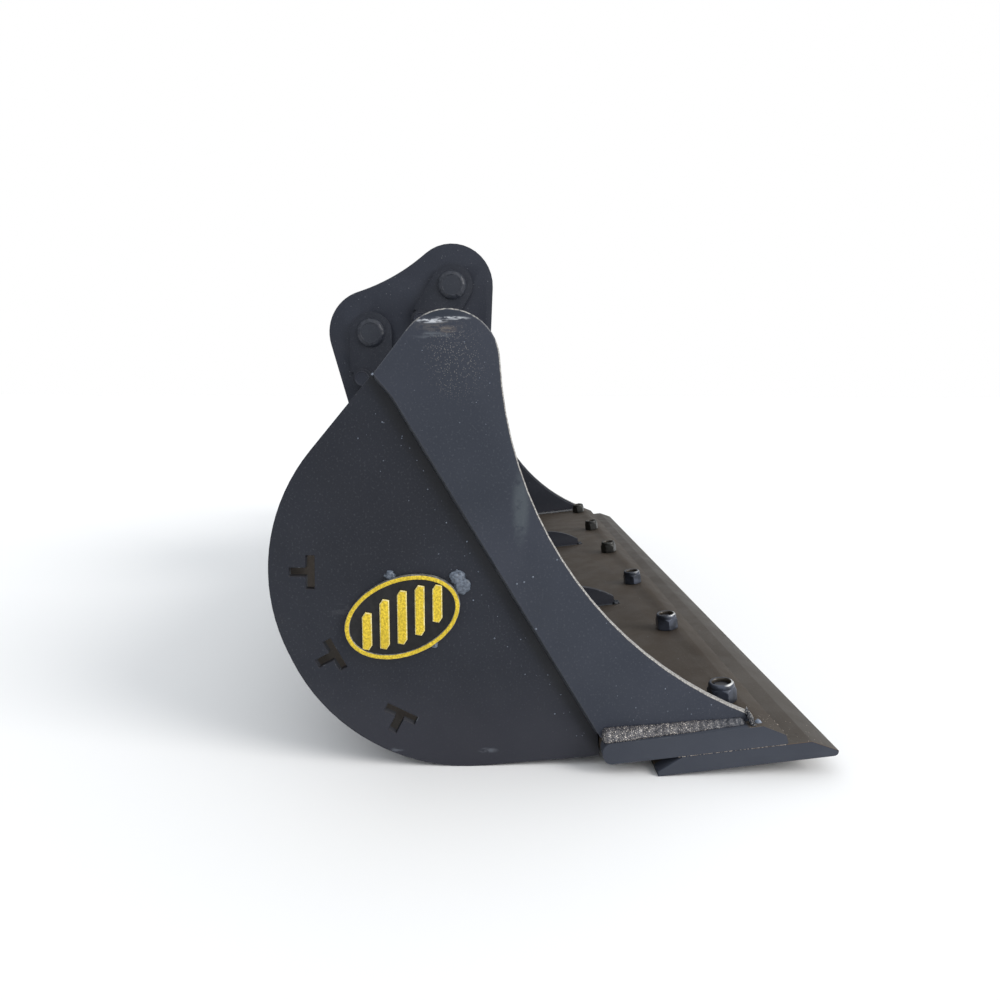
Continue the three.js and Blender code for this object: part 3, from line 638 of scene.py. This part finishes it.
def merge(parts):
    """Points and faces of several skins as one."""
    points, faces = [], []
    for some, skin in parts:
        start = len(points)
        points += some
        faces += [tuple(start + i for i in face) for face in skin]
    return points, faces


def turned(profile, frame, sides, radius=None, loop=False):
    """Skin of revolution about the frame's Z. radius(r, h, angle) may change a radius."""
    rings = []
    for r, h in profile:
        ring = []
        for i in range(sides):
            angle = 2 * pi * i / sides
            reach = radius(r, h, angle) if radius else r
            ring.append(frame @ Vector((reach * cos(angle), reach * sin(angle), h)))
        rings.append(ring)
    return loft(rings, loop)


def across(x, point, outward=-1):
    """Frame at a point of the side section, with Z along X, towards outward."""
    turn = Matrix.Rotation(pi / 2 * outward, 4, "Y")
    return Matrix.Translation(world(x, point)) @ turn


def standing(x, u, v):
    """Frame on the blade, with Z square to it and away from the ground."""
    return Matrix.Translation(world(x, on_blade(u, v))) @ Matrix.Rotation(-BLADE_TILT, 4, "X")


def softened(profile, cut, steps=4):
    """Profile with each inner corner rounded by cut."""
    out = [profile[0]]
    for before, corner, after in zip(profile, profile[1:], profile[2:]):
        before, corner, after = Vector(before), Vector(corner), Vector(after)
        reach = min(cut, (before - corner).length * 0.45, (after - corner).length * 0.45)
        start = corner + (before - corner).normalized() * reach
        end = corner + (after - corner).normalized() * reach
        for i in range(steps + 1):
            t = i / steps
            out.append(tuple(start * (1 - t) ** 2 + corner * 2 * t * (1 - t) + end * t**2))
    out.append(profile[-1])
    return out


# ---- welds

SUNK = 0.3 * MM

def arc_points(centre, radius, start, end, step=0.0025):
    count = max(2, round(abs(end - start) * radius / step))
    return [polar(centre, radius, start + (end - start) * i / count) for i in range(count + 1)]


def line_points(start, end, step=0.0025):
    start, end = Vector(start), Vector(end)
    count = max(2, round((end - start).length / step))
    return [start.lerp(end, i / count) for i in range(count + 1)]


def section_path(points, x, side, out):
    """Weld stations along a line in the section: root, then the directions of the two legs. One leg
    runs along X to side, the other square to the line, on its left for out 1 and its right for -1."""
    stations = []
    for i, p in enumerate(points):
        ahead = points[min(i + 1, len(points) - 1)] - points[max(i - 1, 0)]
        ahead.normalize()
        normal = Vector((-ahead.y, ahead.x)) * out
        stations.append((world(x, p), Vector((side, 0, 0)), Vector((0, -normal.x, normal.y))))
    return stations


def cross_path(x_low, x_high, point, leg_a, leg_b, step=0.0025):
    """Weld stations along X at a point of the section, with both leg directions in the section."""
    count = max(2, round((x_high - x_low) / step))
    a, b = (Vector((0, -d[0], d[1])).normalized() for d in (leg_a, leg_b))
    return [(world(x_low + (x_high - x_low) * i / count, point), a, b) for i in range(count + 1)]


def bead(stations, leg, rough=0.05, ripple=0.0026, loop=False, taper=0.006, bulge=0.2, tip=1.0):
    """Fillet weld with crescent ripples. rough is the height of its lumps as a share of the leg, and
    tip is the share of the leg that is left at the far end."""
    rings, along = [], 0.0
    length = sum((b[0] - a[0]).length for a, b in zip(stations, stations[1:]))
    spans = 9
    for i, (root, a, b) in enumerate(stations):
        if i:
            along += (root - stations[i - 1][0]).length
        ends = 1.0 if loop else min(1.0, along / taper, (length - along) / taper)
        size = leg * (0.25 + 0.75 * sqrt(max(0.0, 1 - (1 - ends) ** 2)))
        size *= 1 - (1 - tip) * along / length
        size *= 1 + 0.5 * rough * noise.noise(root * 55)
        out = (a + b).normalized()
        ring = [root - out * SUNK]
        for j in range(spans + 1):
            t = j / spans
            hump = sin(pi * t)
            point = root + (a * (1 - t) + b * t) * size + out * (bulge * size * hump - 0.0002)
            crest = abs(sin(pi * (along / ripple + 0.6 * hump)))
            lumps = noise.noise(point * 230) + 0.5 * noise.noise(point * 700)
            ring.append(point + out * leg * (0.055 * crest * hump + rough * lumps * (0.3 + 0.7 * hump)))
        rings.append(ring)
    return loft(rings, loop)


def dome(centre, outward, radii, rough=0.1, seed=0, rows=8, sides=18):
    """A lump of weld on a surface: half an ellipsoid, with radii in mm, uneven by rough."""
    turn = Vector(outward).to_track_quat("Z", "Y").to_matrix()
    shift = Vector((seed * 3.1, seed * 1.7, seed * 0.9))
    rings = []
    for i in range(rows):
        lift = pi / 2 * i / (rows - 0.6)
        ring = []
        for j in range(sides):
            flat = polar((0, 0), cos(lift), 2 * pi * j / sides)
            unit = Vector((*flat, sin(lift)))
            swell = 1 + rough * (noise.noise(unit * 1.6 + shift) + 0.4 * noise.noise(unit * 5 + shift))
            local = Vector([c * r * MM * swell for c, r in zip(unit, radii)])
            ring.append(Vector(centre) + turn @ (local - Vector((0, 0, SUNK))))
        rings.append(ring)
    return loft(rings)


def weld(name, parts, body="bucket", replaces=(), finish=PAINTED_WELD, slot="weld_paint"):
    piece(name, merge(parts), slot, body, replaces, [finish])


SIDES = {"left": -1, "right": 1}

# ---- CAD nodes that stay


def dress(node, slot, bevel, finish=None, edges=None):
    """Finish and rounded edges for a CAD node. The rounded edges take a more worn finish."""
    thing = NODES[node]
    thing.data.materials.clear()
    thing.data.materials.append(finish or FINISH[slot])
    thing.data.materials.append(edges or EDGES[slot])
    for face in thing.data.polygons:
        face.use_smooth = True
    join = thing.modifiers.new("join", "WELD")
    join.merge_threshold = 0.02 * MM
    flat = thing.modifiers.new("flat", "DECIMATE")
    flat.decimate_type = "DISSOLVE"
    flat.angle_limit = radians(0.4)
    round_edges(thing, bevel, 3, 32).material = 1


def dress_mouth(node):
    """Puts the rim's finish on a strip's narrow faces too."""
    thing = NODES[node]
    for face in thing.data.polygons:
        if abs(face.normal.x) < 0.5:
            face.material_index = 1


def dress_plates():
    for side in SIDES:
        dress(f"side_plate_{side}", "side_paint", 0.7 * MM)
        dress(f"side_strip_{side}", "strip_paint", 1.3 * MM, edges=WORN_RIM)
        dress_mouth(f"side_strip_{side}")
        dress(f"ear_{side}", "ear_paint", 0.7 * MM)
        dress(f"inner_rib_{side}", "side_paint", 0.8 * MM)
        for which in PINS:
            dress(f"ear_boss_{which}_{side}", "ear_paint", 0.8 * MM)
    for which in PINS:
        dress(f"pin_flag_{which}", "ear_paint", 0.8 * MM, finish=FLAG_PAINT, edges=FLAG_PAINT)
    dress("ear_brace", "ear_paint", 0.8 * MM)
    dress("lip_plate", "inside_paint", 1.0 * MM)
    dress("cutting_edge", "edge_paint", 0.7 * MM)


# ---- shell and tube


def shell_line(inset):
    """The shell's side line, inset from the side plate's rim, from the floor's end to the top."""
    start = polar(HEEL_LOW, HEEL_R - inset, FLOOR_ANGLE)
    top = polar(LOBE, LOBE_R - inset, BACK_NORMAL)
    back = polar(HEEL_HIGH, HEEL_R - inset, BACK_NORMAL)
    return (
        line_points(polar(start, FLOOR_LENGTH, FLOOR_SLOPE), start, 0.01)
        + arc_points(HEEL_LOW, HEEL_R - inset, FLOOR_ANGLE, HEEL_JOIN, 0.005)[1:]
        + arc_points(HEEL_HIGH, HEEL_R - inset, HEEL_JOIN, BACK_NORMAL, 0.005)
        + line_points(back, polar(top, SHELL_TOP_CUT, BACK_NORMAL + pi / 2), 0.01)[1:]
    )


def make_shell():
    loop = shell_line(SHELL_OUTSET) + shell_line(SHELL_OUTSET + SHELL_THICK)[::-1]
    half = span("shell_plate")[1]
    stations, uneven = 28, 0.25 * MM
    rings = []
    for i in range(stations + 1):
        x = half * (2 * i / stations - 1)
        ring = []
        for p in loop:
            away = (p - HEEL_LOW).normalized()
            ring.append(world(x, p + away * uneven * noise.noise(world(x, p) * 7)))
        rings.append(ring)
    shell = piece("shell", loft(rings), "inside_paint", replaces=["shell_plate"],
                  finish=[FINISH["inside_paint"], FINISH["side_paint"]], sharp=40)
    outer = len(loop) // 2
    for face in shell.data.polygons[: stations * len(loop)]:
        face.material_index = 1 if face.index % len(loop) < outer else 0
    round_edges(shell, 0.8 * MM, 2, 50)


def make_tube():
    half = span("torque_tube")[1]
    cut = 0.8 * MM
    bore = TUBE_R - TUBE_WALL
    profile = [
        (TUBE_R - cut, -half), (TUBE_R, cut - half), (TUBE_R, half - cut), (TUBE_R - cut, half),
        (bore + cut, half), (bore, half - cut), (bore, cut - half), (bore + cut, -half),
    ]
    skin = turned(profile, across(0, LOBE), 128, loop=True)
    piece("tube", skin, "ear_paint", replaces=["torque_tube"], sharp=30)


def make_shell_welds():
    outer, inner = shell_line(SHELL_OUTSET), shell_line(SHELL_OUTSET + SHELL_THICK)
    for side, sign in SIDES.items():
        x = sign * SIDE_IN
        weld(f"shell_weld_{side}", [
            bead(section_path(finer(inner), x, -sign, -1), SHELL_LEG),
            bead(section_path(finer(outer), x, -sign, 1), SHELL_OUTER_LEG),
        ])
        ring = arc_points(LOBE, TUBE_R, 0, 2 * pi)[:-1]
        weld(f"tube_weld_{side}", [bead(section_path(ring, x, -sign, -1), SHELL_LEG, loop=True)])
    half = span("torque_tube")[1] - SHELL_LEG
    out, up = polar((0, 0), 1, BACK_NORMAL), polar((0, 0), 1, BACK_NORMAL - pi / 2)
    weld("tube_shell_weld", [bead(cross_path(-half, half, inner[-1], out, up), SHELL_THICK)])


def finer(points, step=0.0025):
    """The same line in short, even steps."""
    out = [points[0]]
    for a, b in zip(points, points[1:]):
        count = max(1, round((b - a).length / step))
        out += [a.lerp(b, i / count) for i in range(1, count + 1)]
    return out


# ---- blade


def make_lip_welds():
    """The thick fillets outside the strips, the ones inside, and the seam to the shell."""
    outside = line_points(on_blade(-56 * MM, LIP_TOP), on_blade(103 * MM, LIP_TOP), 0.0012)
    inside = line_points(on_blade(-54 * MM, LIP_TOP), on_blade(99 * MM, LIP_TOP))
    for side, sign in SIDES.items():
        thick = bead(
            section_path(outside, sign * STRIP_OUT, sign, 1), LIP_LEG, rough=0.2, ripple=0.004, tip=0.5)
        weld(f"lip_fillet_{side}", [thick], replaces=[f"lip_weld_{side}"], finish=LIP_WELD)
        thin = bead(section_path(inside, sign * SIDE_IN, -sign, 1), TOE_LEG)
        weld(f"toe_weld_{side}", [thin, *toe_lumps(sign)], finish=DARK_WELD)
        drop = world(sign * 0.7385, (0.3032, 0.0565))
        lump = dome(drop, (sign * 0.5, -0.3, 1), (4.0, 3.8, 4.2), 0.2, seed=9)
        weld(f"toe_drop_{side}", [lump], finish=BRIGHT_DROP)
    half = span("shell_plate")[1] - 7 * MM
    seam = on_blade(LIP_REAR, LIP_BASE + 9.6 * MM)
    under = polar(polar(HEEL_LOW, HEEL_R - SHELL_OUTSET, FLOOR_ANGLE), FLOOR_LENGTH, FLOOR_SLOPE)
    weld("shell_seam", [
        bead(cross_path(-half, half, seam, -U_WAY, V_WAY), SEAM_LEG, bulge=0.05),
        bead(cross_path(-half, half, under, -U_WAY, (0.6, -0.8)), UNDER_LEG),
    ], replaces=["shell_lip_weld"], finish=DUSTY_WELD)


def toe_lumps(sign):
    """Run of weld down the strip's blunt toe, tall and narrow."""
    spots = [
        ((0.7345, 0.2912, 0.0690), 2.4), ((0.7362, 0.2920, 0.0665), 3.0), ((0.7385, 0.2930, 0.0635), 3.2),
        ((0.7410, 0.2940, 0.0605), 3.2), ((0.7437, 0.2949, 0.0578), 2.8), ((0.7462, 0.2957, 0.0556), 2.3),
    ]
    lumps = []
    for i, ((x, forward, up), r) in enumerate(spots):
        spot = world(sign * x, (forward, up))
        lumps.append(dome(spot, (sign, -0.5, 0.2), (0.8 * r, 1.3 * r, r), 0.7, i, rows=9, sides=20))
    return lumps


def make_strip_welds():
    """The thin weld along a strip's rear side, and a bright drop on its top corner."""
    line = line_points(STRIP_FOOT, STRIP_BACK_KNEE) + line_points(STRIP_BACK_KNEE, STRIP_BACK_TOP)[1:]
    for side, sign in SIDES.items():
        thin = bead(section_path(line, sign * SIDE_OUT, sign, 1), STRIP_LEG, rough=0.12)
        weld(f"strip_weld_{side}", [thin])
        spot = world(sign * (STRIP_OUT - 2 * MM), STRIP_BACK_TOP)
        lump = dome(spot, (sign, 0.6, 0.3), (1.5, 1.3, 1.6), 0.4, seed=3)
        weld(f"strip_corner_{side}", [lump], finish=BRIGHT_DROP)


def make_rib_welds():
    line = line_points(on_blade(40 * MM, LIP_TOP), on_blade(LIP_REAR + 8 * MM, LIP_TOP))
    curve = arc_points(HEEL_LOW, HEEL_R - SHELL_OUTSET - SHELL_THICK, FLOOR_ANGLE, radians(215))
    for side in SIDES:
        parts = []
        low, high = span(f"inner_rib_{side}")
        for x, way in ((low, -1), (high, 1)):
            parts.append(bead(section_path(line, x, way, -1), RIB_LIP_LEG, rough=0.12))
            parts.append(bead(section_path(curve, x, way, -1), RIB_LEG, rough=0.12))
        lumps = ((low, 43, 4.5), (low + 5 * MM, 46, 5), (high, 44, 4), (low + 2 * MM, 50, 2.2))
        for i, (x, u, r) in enumerate(lumps):
            parts.append(dome(world(x, on_blade(u * MM, LIP_TOP)), (0, 0, 1), (r, r, 0.9 * r), 0.6, i))
        weld(f"rib_weld_{side}", parts)


def nut_radius(turn, corner):
    """Keeps a nut's skin within a hexagon that is turned by an angle."""
    def radius(r, h, angle):
        if r < NUT_FLATS / 2 - 0.6 * MM:
            return r
        reach = NUT_FLATS / 2 / cos((angle - turn) % (pi / 3) - pi / 6)
        return min(r, reach - 0.12 * MM * (reach / corner) ** 16)
    return radius


def make_nuts():
    """Lock nuts: a hexagon that flows into a round collar, with a rolled rim over the bolt's end."""
    corner = NUT_FLATS / 2 / cos(pi / 6)
    outline = softened([
        (NUT_FLATS / 2 - 0.4 * MM, 0.0), (corner, 1.6 * MM), (corner, 13.6 * MM), (15.7 * MM, 16.4 * MM),
        (15.0 * MM, 17.2 * MM), (15.1 * MM, 19.6 * MM), (14.6 * MM, 21.4 * MM), (13.7 * MM, 22.9 * MM),
        (12.5 * MM, NUT_HIGH), (11.6 * MM, NUT_HIGH - 0.2 * MM), (10.4 * MM, NUT_HIGH - 1.8 * MM),
        (10.3 * MM, NUT_HIGH - 3.4 * MM), (10.3 * MM, 0.0),
    ], 1.1 * MM, 5)
    outline = [tuple(p) for p in finer([Vector(p) for p in outline], 0.9 * MM)]
    # Each nut takes its turn and its share of painted rim highlight.
    for i, (turn, rubbed) in enumerate(zip(NUT_TURNS, NUT_RIM_HIGHLIGHT), 1):
        node = f"lock_nut_{i}"
        here = standing(box_centre(node).x, BOLT_U, LIP_TOP + GAP)
        skin = turned(outline, here, 120, nut_radius(radians(turn), corner), loop=True)
        steel = nut_steel(f"nut_steel_{i}", node, rubbed)
        piece(f"nut_{i}", skin, "fastener_steel", replaces=[node], finish=[steel], sharp=32)


def make_bolts():
    """Plow bolts: a countersunk head under the edge, and a threaded end in the nut."""
    end = LIP_TOP + NUT_HIGH - BOLT_SHORT
    pitch, depth = 2.5 * MM, 1.2 * MM
    thread_from = LIP_TOP - 6 * MM

    def radius(r, h, angle):
        if h < thread_from or r < BOLT_R - 2 * MM:
            return r
        turn = (h / pitch - angle / (2 * pi)) % 1
        return r - depth * abs(2 * turn - 1) * min(1, (h - thread_from) / pitch)

    rows = 90
    thread = [(BOLT_R, thread_from + (end - 1.6 * MM - thread_from) * j / rows) for j in range(rows + 1)]
    head = BOLT_HEAD_R - 0.9 * MM
    lower = [(head, 0.6 * MM), (head + 0.2 * MM, 0.9 * MM), (head, 1.5 * MM)]
    neck = (BOLT_R, BOLT_HEAD_DEEP - 0.2 * MM)
    profile = [*lower, neck, *thread, (BOLT_R - 1.6 * MM, end), (BOLT_R - 2.4 * MM, end + 0.01 * MM)]
    for i in range(1, 7):
        node = f"plow_bolt_{i}"
        skin = turned(profile, standing(box_centre(node).x, BOLT_U, 0), 48, radius)
        piece(f"bolt_{i}", skin, "fastener_steel", replaces=[node], sharp=40)


# ---- ears and pins


def make_ear_welds():
    surface = LOBE_R - SHELL_OUTSET
    tube_line = arc_points(LOBE, TUBE_R, radians(4), BACK_NORMAL - radians(4))
    heel_r = HEEL_R - SHELL_OUTSET
    back = line_points(polar(LOBE, surface, BACK_NORMAL), polar(HEEL_HIGH, heel_r, BACK_NORMAL))
    heel = arc_points(HEEL_HIGH, heel_r, BACK_NORMAL, radians(153))
    for side, sign in SIDES.items():
        low, high = sorted(abs(x) for x in span(f"ear_{side}"))
        parts = []
        for x, way in ((low, -1), (high, 1)):
            for line in (tube_line, back + heel[1:]):
                parts.append(bead(section_path(line, sign * x, sign * way, -1), EAR_LEG))
        for which in PINS:
            ring = arc_points(section(f"pin_{which}"), BOSS_R, 0, 2 * pi)[:-1]
            parts.append(bead(section_path(ring, sign * low, -sign, -1), BOSS_LEG, loop=True))
        weld(f"ear_weld_{side}", parts)


def make_brace_welds():
    down = BACK_NORMAL + pi / 2
    n, d = polar((0, 0), 1, BACK_NORMAL), polar((0, 0), 1, down)
    low = polar(polar(LOBE, LOBE_R - SHELL_OUTSET, BACK_NORMAL), 80 * MM, down)
    back = polar(low, 12 * MM, down)
    half = span("ear_brace")[1]
    parts = [
        bead(cross_path(-half, half, low, -d, n), BRACE_LEG),
        bead(cross_path(-half, half, back, d, n), BRACE_LEG),
    ]
    for sign in SIDES.values():
        for root, out in ((low, -1), (back, 1)):
            line = line_points(polar(root, 2 * MM, BACK_NORMAL), polar(root, 43 * MM, BACK_NORMAL))
            parts.append(bead(section_path(line, sign * half, -sign, out), BRACE_SIDE_LEG))
    weld("brace_weld", parts)


def make_bushes():
    cut = 0.9 * MM
    outer, inner = BUSH_R, PIN_R + 0.1 * MM
    for side, sign in SIDES.items():
        for which in PINS:
            node = f"ear_bush_{which}_{side}"
            low, high = sorted(abs(x) for x in span(node))
            profile = [
                (outer - cut, low), (outer, low + cut), (outer, high - cut), (outer - cut, high),
                (inner + 2 * cut, high), (inner, high - 2 * cut),
                (inner, low + 2 * cut), (inner + 2 * cut, low),
            ]
            skin = turned(profile, across(0, section(f"pin_{which}"), sign), 96, loop=True)
            piece(f"bush_{which}_{side}", skin, "pin_steel", replaces=[node], sharp=25)


def make_pins():
    """The pins, each with a ring of weld round its end and its lock bolt."""
    over, sunk = 3 * MM, 2.4 * MM
    for which, body in PINS.items():
        centre = section(f"pin_{which}")
        low, high = span(f"pin_{which}")
        profile = softened([
            (0.5 * MM, low), (PIN_R - 1.4 * MM, low + 0.1 * MM), (PIN_R, low + 1.1 * MM),
            (PIN_R, high - 5 * MM), (PIN_R - 3 * MM, high), (5 * MM, high), (3 * MM, high - 3 * MM),
        ], 1.5 * MM)
        skin = turned(profile, across(0, centre, 1), 96)
        piece(f"pin_bar_{which}", skin, "pin_steel", body, [f"pin_{which}"], sharp=25)
        root = span(f"pin_weld_{which}")[1] + sunk
        ring = section_path(arc_points(centre, PIN_R - over, 0, 2 * pi, 0.0015)[:-1], root, -1, -1)
        ring_weld = bead(ring, root - low + 0.2 * MM, rough=0.13, ripple=0.04, loop=True, bulge=0.23)
        weld(f"pin_ring_{which}", [ring_weld], body, [f"pin_weld_{which}"], PIN_WELD)
        make_lock_bolt(which, body)


def make_lock_bolt(which, body):
    """A cap bolt seated in the flag's eye, with a thin raised rim."""
    node = f"lock_bolt_{which}"
    low, high = span(node)
    head, shank = 13.5 * MM, 8 * MM
    profile = softened([
        (0.5 * MM, low + 0.7 * MM), (head - 2.3 * MM, low + 0.7 * MM), (head - 1.7 * MM, low),
        (head - 0.8 * MM, low), (head, low + 1.2 * MM), (head, low + 4 * MM),
        (shank, low + 4 * MM), (shank, high - 1.5 * MM), (shank - 1.5 * MM, high),
    ], 0.4 * MM)
    skin = turned(profile, across(0, section(node), 1), 72)
    piece(f"lock_cap_{which}", skin, "fastener_steel", body, [node], [FINISH["ear_paint"]], sharp=30)


# ---- badges


def badge_frame(sign):
    """Frame of a badge's back face: X along the oval, Z away from the plate."""
    low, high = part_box("badge_plate_left" if sign < 0 else "badge_plate_right")
    centre = Vector(((high.x if sign < 0 else low.x), (low.y + high.y) / 2, (low.z + high.z) / 2))
    c, s = cos(BADGE_TURN), sin(BADGE_TURN)
    long, short, out = Vector((0, -c, s)), Vector((0, s, c)), Vector((sign, 0, 0))
    return Matrix.Translation(centre) @ Matrix((long, short, out)).transposed().to_4x4()


def shrink(corners, by):
    """Convex outline moved inwards by a distance."""
    out = []
    count = len(corners)
    for i, p in enumerate(corners):
        a = (p - corners[i - 1]).normalized()
        b = (corners[(i + 1) % count] - p).normalized()
        inward = (b - a).normalized()
        out.append(p + inward * by / max(0.2, abs(a.cross(inward))))
    return out


def badge_ring(here, sign, inset, high, sides):
    """A ring of a badge's skin. Its outermost ones are slightly uneven, as cast."""
    ring = []
    for i in range(sides):
        t = 2 * pi * i / sides
        c, s = cos(t), sin(t)
        flaw = 0.35 * MM * noise.noise(Vector((c * 9, s * 9, sign))) if inset < 2 * MM else 0
        cut = inset + flaw
        ring.append(here @ Vector(((BADGE_LONG - cut) * c, (BADGE_SHORT - cut) * s, high)))
    return ring


def make_badges():
    """Cast oval plates: yellow rim, black field and five plain slanted bars."""
    sides, high, field = 120, BADGE_THICK, BADGE_THICK - 2.5 * MM
    rows = [
        (0, 0), (0, high - 1.2 * MM), (0.5 * MM, high - 0.3 * MM), (1.1 * MM, high), (4.2 * MM, high),
        (4.8 * MM, high - 0.4 * MM), (5.3 * MM, field + 0.2 * MM), (5.8 * MM, field),
    ]
    bands = [2, 2, 0, 0, 0, 2, 1]
    for side, sign in SIDES.items():
        here = badge_frame(sign)
        skin = loft([badge_ring(here, sign, inset, h, sides) for inset, h in rows])
        plate = piece(f"badge_{side}", skin, "badge_paint", replaces=[f"badge_plate_{side}"],
                      finish=[YELLOW, BADGE_BLACK, BADGE_SIDE], sharp=28)
        for face in plate.data.polygons:
            row = face.index // sides
            face.material_index = bands[row] if row < len(bands) else 1
        make_badge_bars(side, here, field)


def make_badge_bars(side, here, field):
    lean = radians(90) - BADGE_TURN
    way = Vector((cos(lean), sin(lean)))
    wide, cap, pitch = Vector((5.6 * MM, 0)), 4 * MM, 20.5 * MM
    parts = []
    for i in range(-2, 3):
        along = i * pitch
        tall = way * 0.62 * BADGE_SHORT * (1 - (along / BADGE_LONG) ** 2) ** 0.8
        low, high = Vector((along, 0)) - tall, Vector((along, 0)) + tall
        corners = [low - wide, low + wide * 0.3 - way * cap, low + wide]
        corners += [high + wide, high - wide * 0.3 + way * cap, high - wide]
        levels = [(0, -0.2 * MM), (0, 1.4 * MM), (0.9 * MM, 2.3 * MM)]
        parts.append(loft([
            [here @ Vector((*p, field + lift)) for p in shrink(corners, by)] for by, lift in levels
        ]))
    finish = [YELLOW, BADGE_PALE]
    bars = piece(f"badge_bars_{side}", merge(parts), "badge_paint", finish=finish, smooth=False)
    for face in bars.data.polygons:
        face.material_index = 0 if abs(face.normal.x) > 0.9 else 1


def make_badge_tacks():
    spots = [
        ((-0.0999, 0.2208), (6, 5, 4)), ((-0.0270, 0.2185), (8.5, 8, 5)),
        ((-0.0222, 0.2085), (9, 9, 4.5)), ((-0.0533, 0.1432), (4.5, 4, 3)),
    ]
    for side, sign in SIDES.items():
        lumps = []
        for i, (spot, radii) in enumerate(spots, 1):
            place = world(sign * SIDE_OUT, spot)
            lumps.append(dome(place, (sign, 0, 0), radii, 0.35, i, rows=9, sides=26))
        weld(f"badge_tacks_{side}", lumps, finish=PALE_WELD)


# ---- spatter and grit


LIP_SPATTER = 70
PLATE_SPATTER = 60
LOBE_SPATTER = 60
JOINT_GRIT = 150
BLADE_GRIT = 300


def make_spatter():
    """Beads of weld spatter on the strips and side plates."""
    dice = random.Random(11)
    known = [(0.0364, 0.2138), (0.0439, 0.2159), (0.0534, 0.2214), (0.0572, 0.1639), (0.0788, 0.2399)]
    for side, sign in SIDES.items():
        drops = [(Vector(p), 1.3, STRIP_OUT) for p in known]
        for _ in range(LIP_SPATTER):
            t = dice.random()
            foot = on_blade((-45 + 140 * t) * MM, LIP_TOP + (16 + 120 * dice.random() ** 2.2) * MM)
            if inside_strip(foot):
                drops.append((foot, 0.35 + 0.6 * dice.random() ** 2, STRIP_OUT))
        for _ in range(PLATE_SPATTER):
            along = dice.random()
            offset = Vector((-0.012 - 0.05 * dice.random() ** 2, -0.006))
            spot = STRIP_FOOT.lerp(STRIP_BACK_KNEE, along) + offset
            drops.append((spot, 0.4 + 0.7 * dice.random() ** 2, SIDE_OUT))
        for _ in range(LOBE_SPATTER):
            spot = LOBE + Vector((dice.uniform(-0.045, 0.045), dice.uniform(-0.09, 0.03)))
            if inside_strip(spot):
                drops.append((spot, 0.35 + 0.4 * dice.random() ** 2, STRIP_OUT))
        parts = []
        for i, (spot, r, x) in enumerate(drops):
            place = world(sign * x, spot)
            parts.append(dome(place, (sign, 0, 0), (r, r, 0.8 * r), 0.3, i, rows=4, sides=8))
        weld(f"spatter_{side}", parts, finish=PALE_WELD)


def inside_strip(p):
    """True on a strip's outer face, a little inside its edges."""
    margin = 3 * MM
    if (p - LOBE).length < LOBE_R - margin:
        return True
    behind = (p - STRIP_FOOT).dot(STRIP_REARWARD)
    return behind < -margin and (p - MOUTH).length > MOUTH_R + margin and LIP_TOP < p.y < LOBE.y


def make_grit():
    """Sand left in the joint under the lip's ends, and strewn on the blade near them."""
    dice = random.Random(5)
    for side, sign in SIDES.items():
        parts = []
        for i in range(JOINT_GRIT):
            u = (24 + 118 * dice.random()) * MM
            r = 0.35 + 0.75 * dice.random() ** 2
            place = on_blade(u, LIP_BASE + dice.uniform(-0.4, 0.3) * MM)
            spot = world(sign * (BLADE_OUT - 0.1 * MM), place)
            parts.append(dome(spot, (sign, 0, 0), (r, 0.6 * r, 0.3), 0.4, i, rows=3, sides=6))
        for i in range(BLADE_GRIT):
            u = (104 + 88 * dice.random()) * MM
            x = BLADE_OUT - (1 + 55 * dice.random() ** 1.7) * MM
            r = 0.25 + 0.35 * dice.random() ** 2
            spot = world(sign * x, on_blade(u, blade_top(u)))
            parts.append(dome(spot, (0, 0, 1), (r, r, 0.7 * r), 0.5, i, rows=3, sides=6))
        weld(f"grit_{side}", parts, finish=SAND, slot="inside_paint")


def blade_top(u):
    """Height of the blade's upper surface above its underside."""
    if u > EDGE_BEVEL_U:
        return EDGE_THICK - (u - EDGE_BEVEL_U) * 14 / 29
    if u > LIP_FRONT:
        return EDGE_THICK
    if u > LIP_BEVEL_U:
        return LIP_TOP - (u - LIP_BEVEL_U) * 13 / 24
    return LIP_TOP


dress_plates()
make_shell()
make_tube()
make_shell_welds()
make_lip_welds()
make_strip_welds()
make_rib_welds()
make_nuts()
make_bolts()
make_ear_welds()
make_brace_welds()
make_bushes()
make_pins()
make_badges()
make_badge_tacks()
make_spatter()
make_grit()
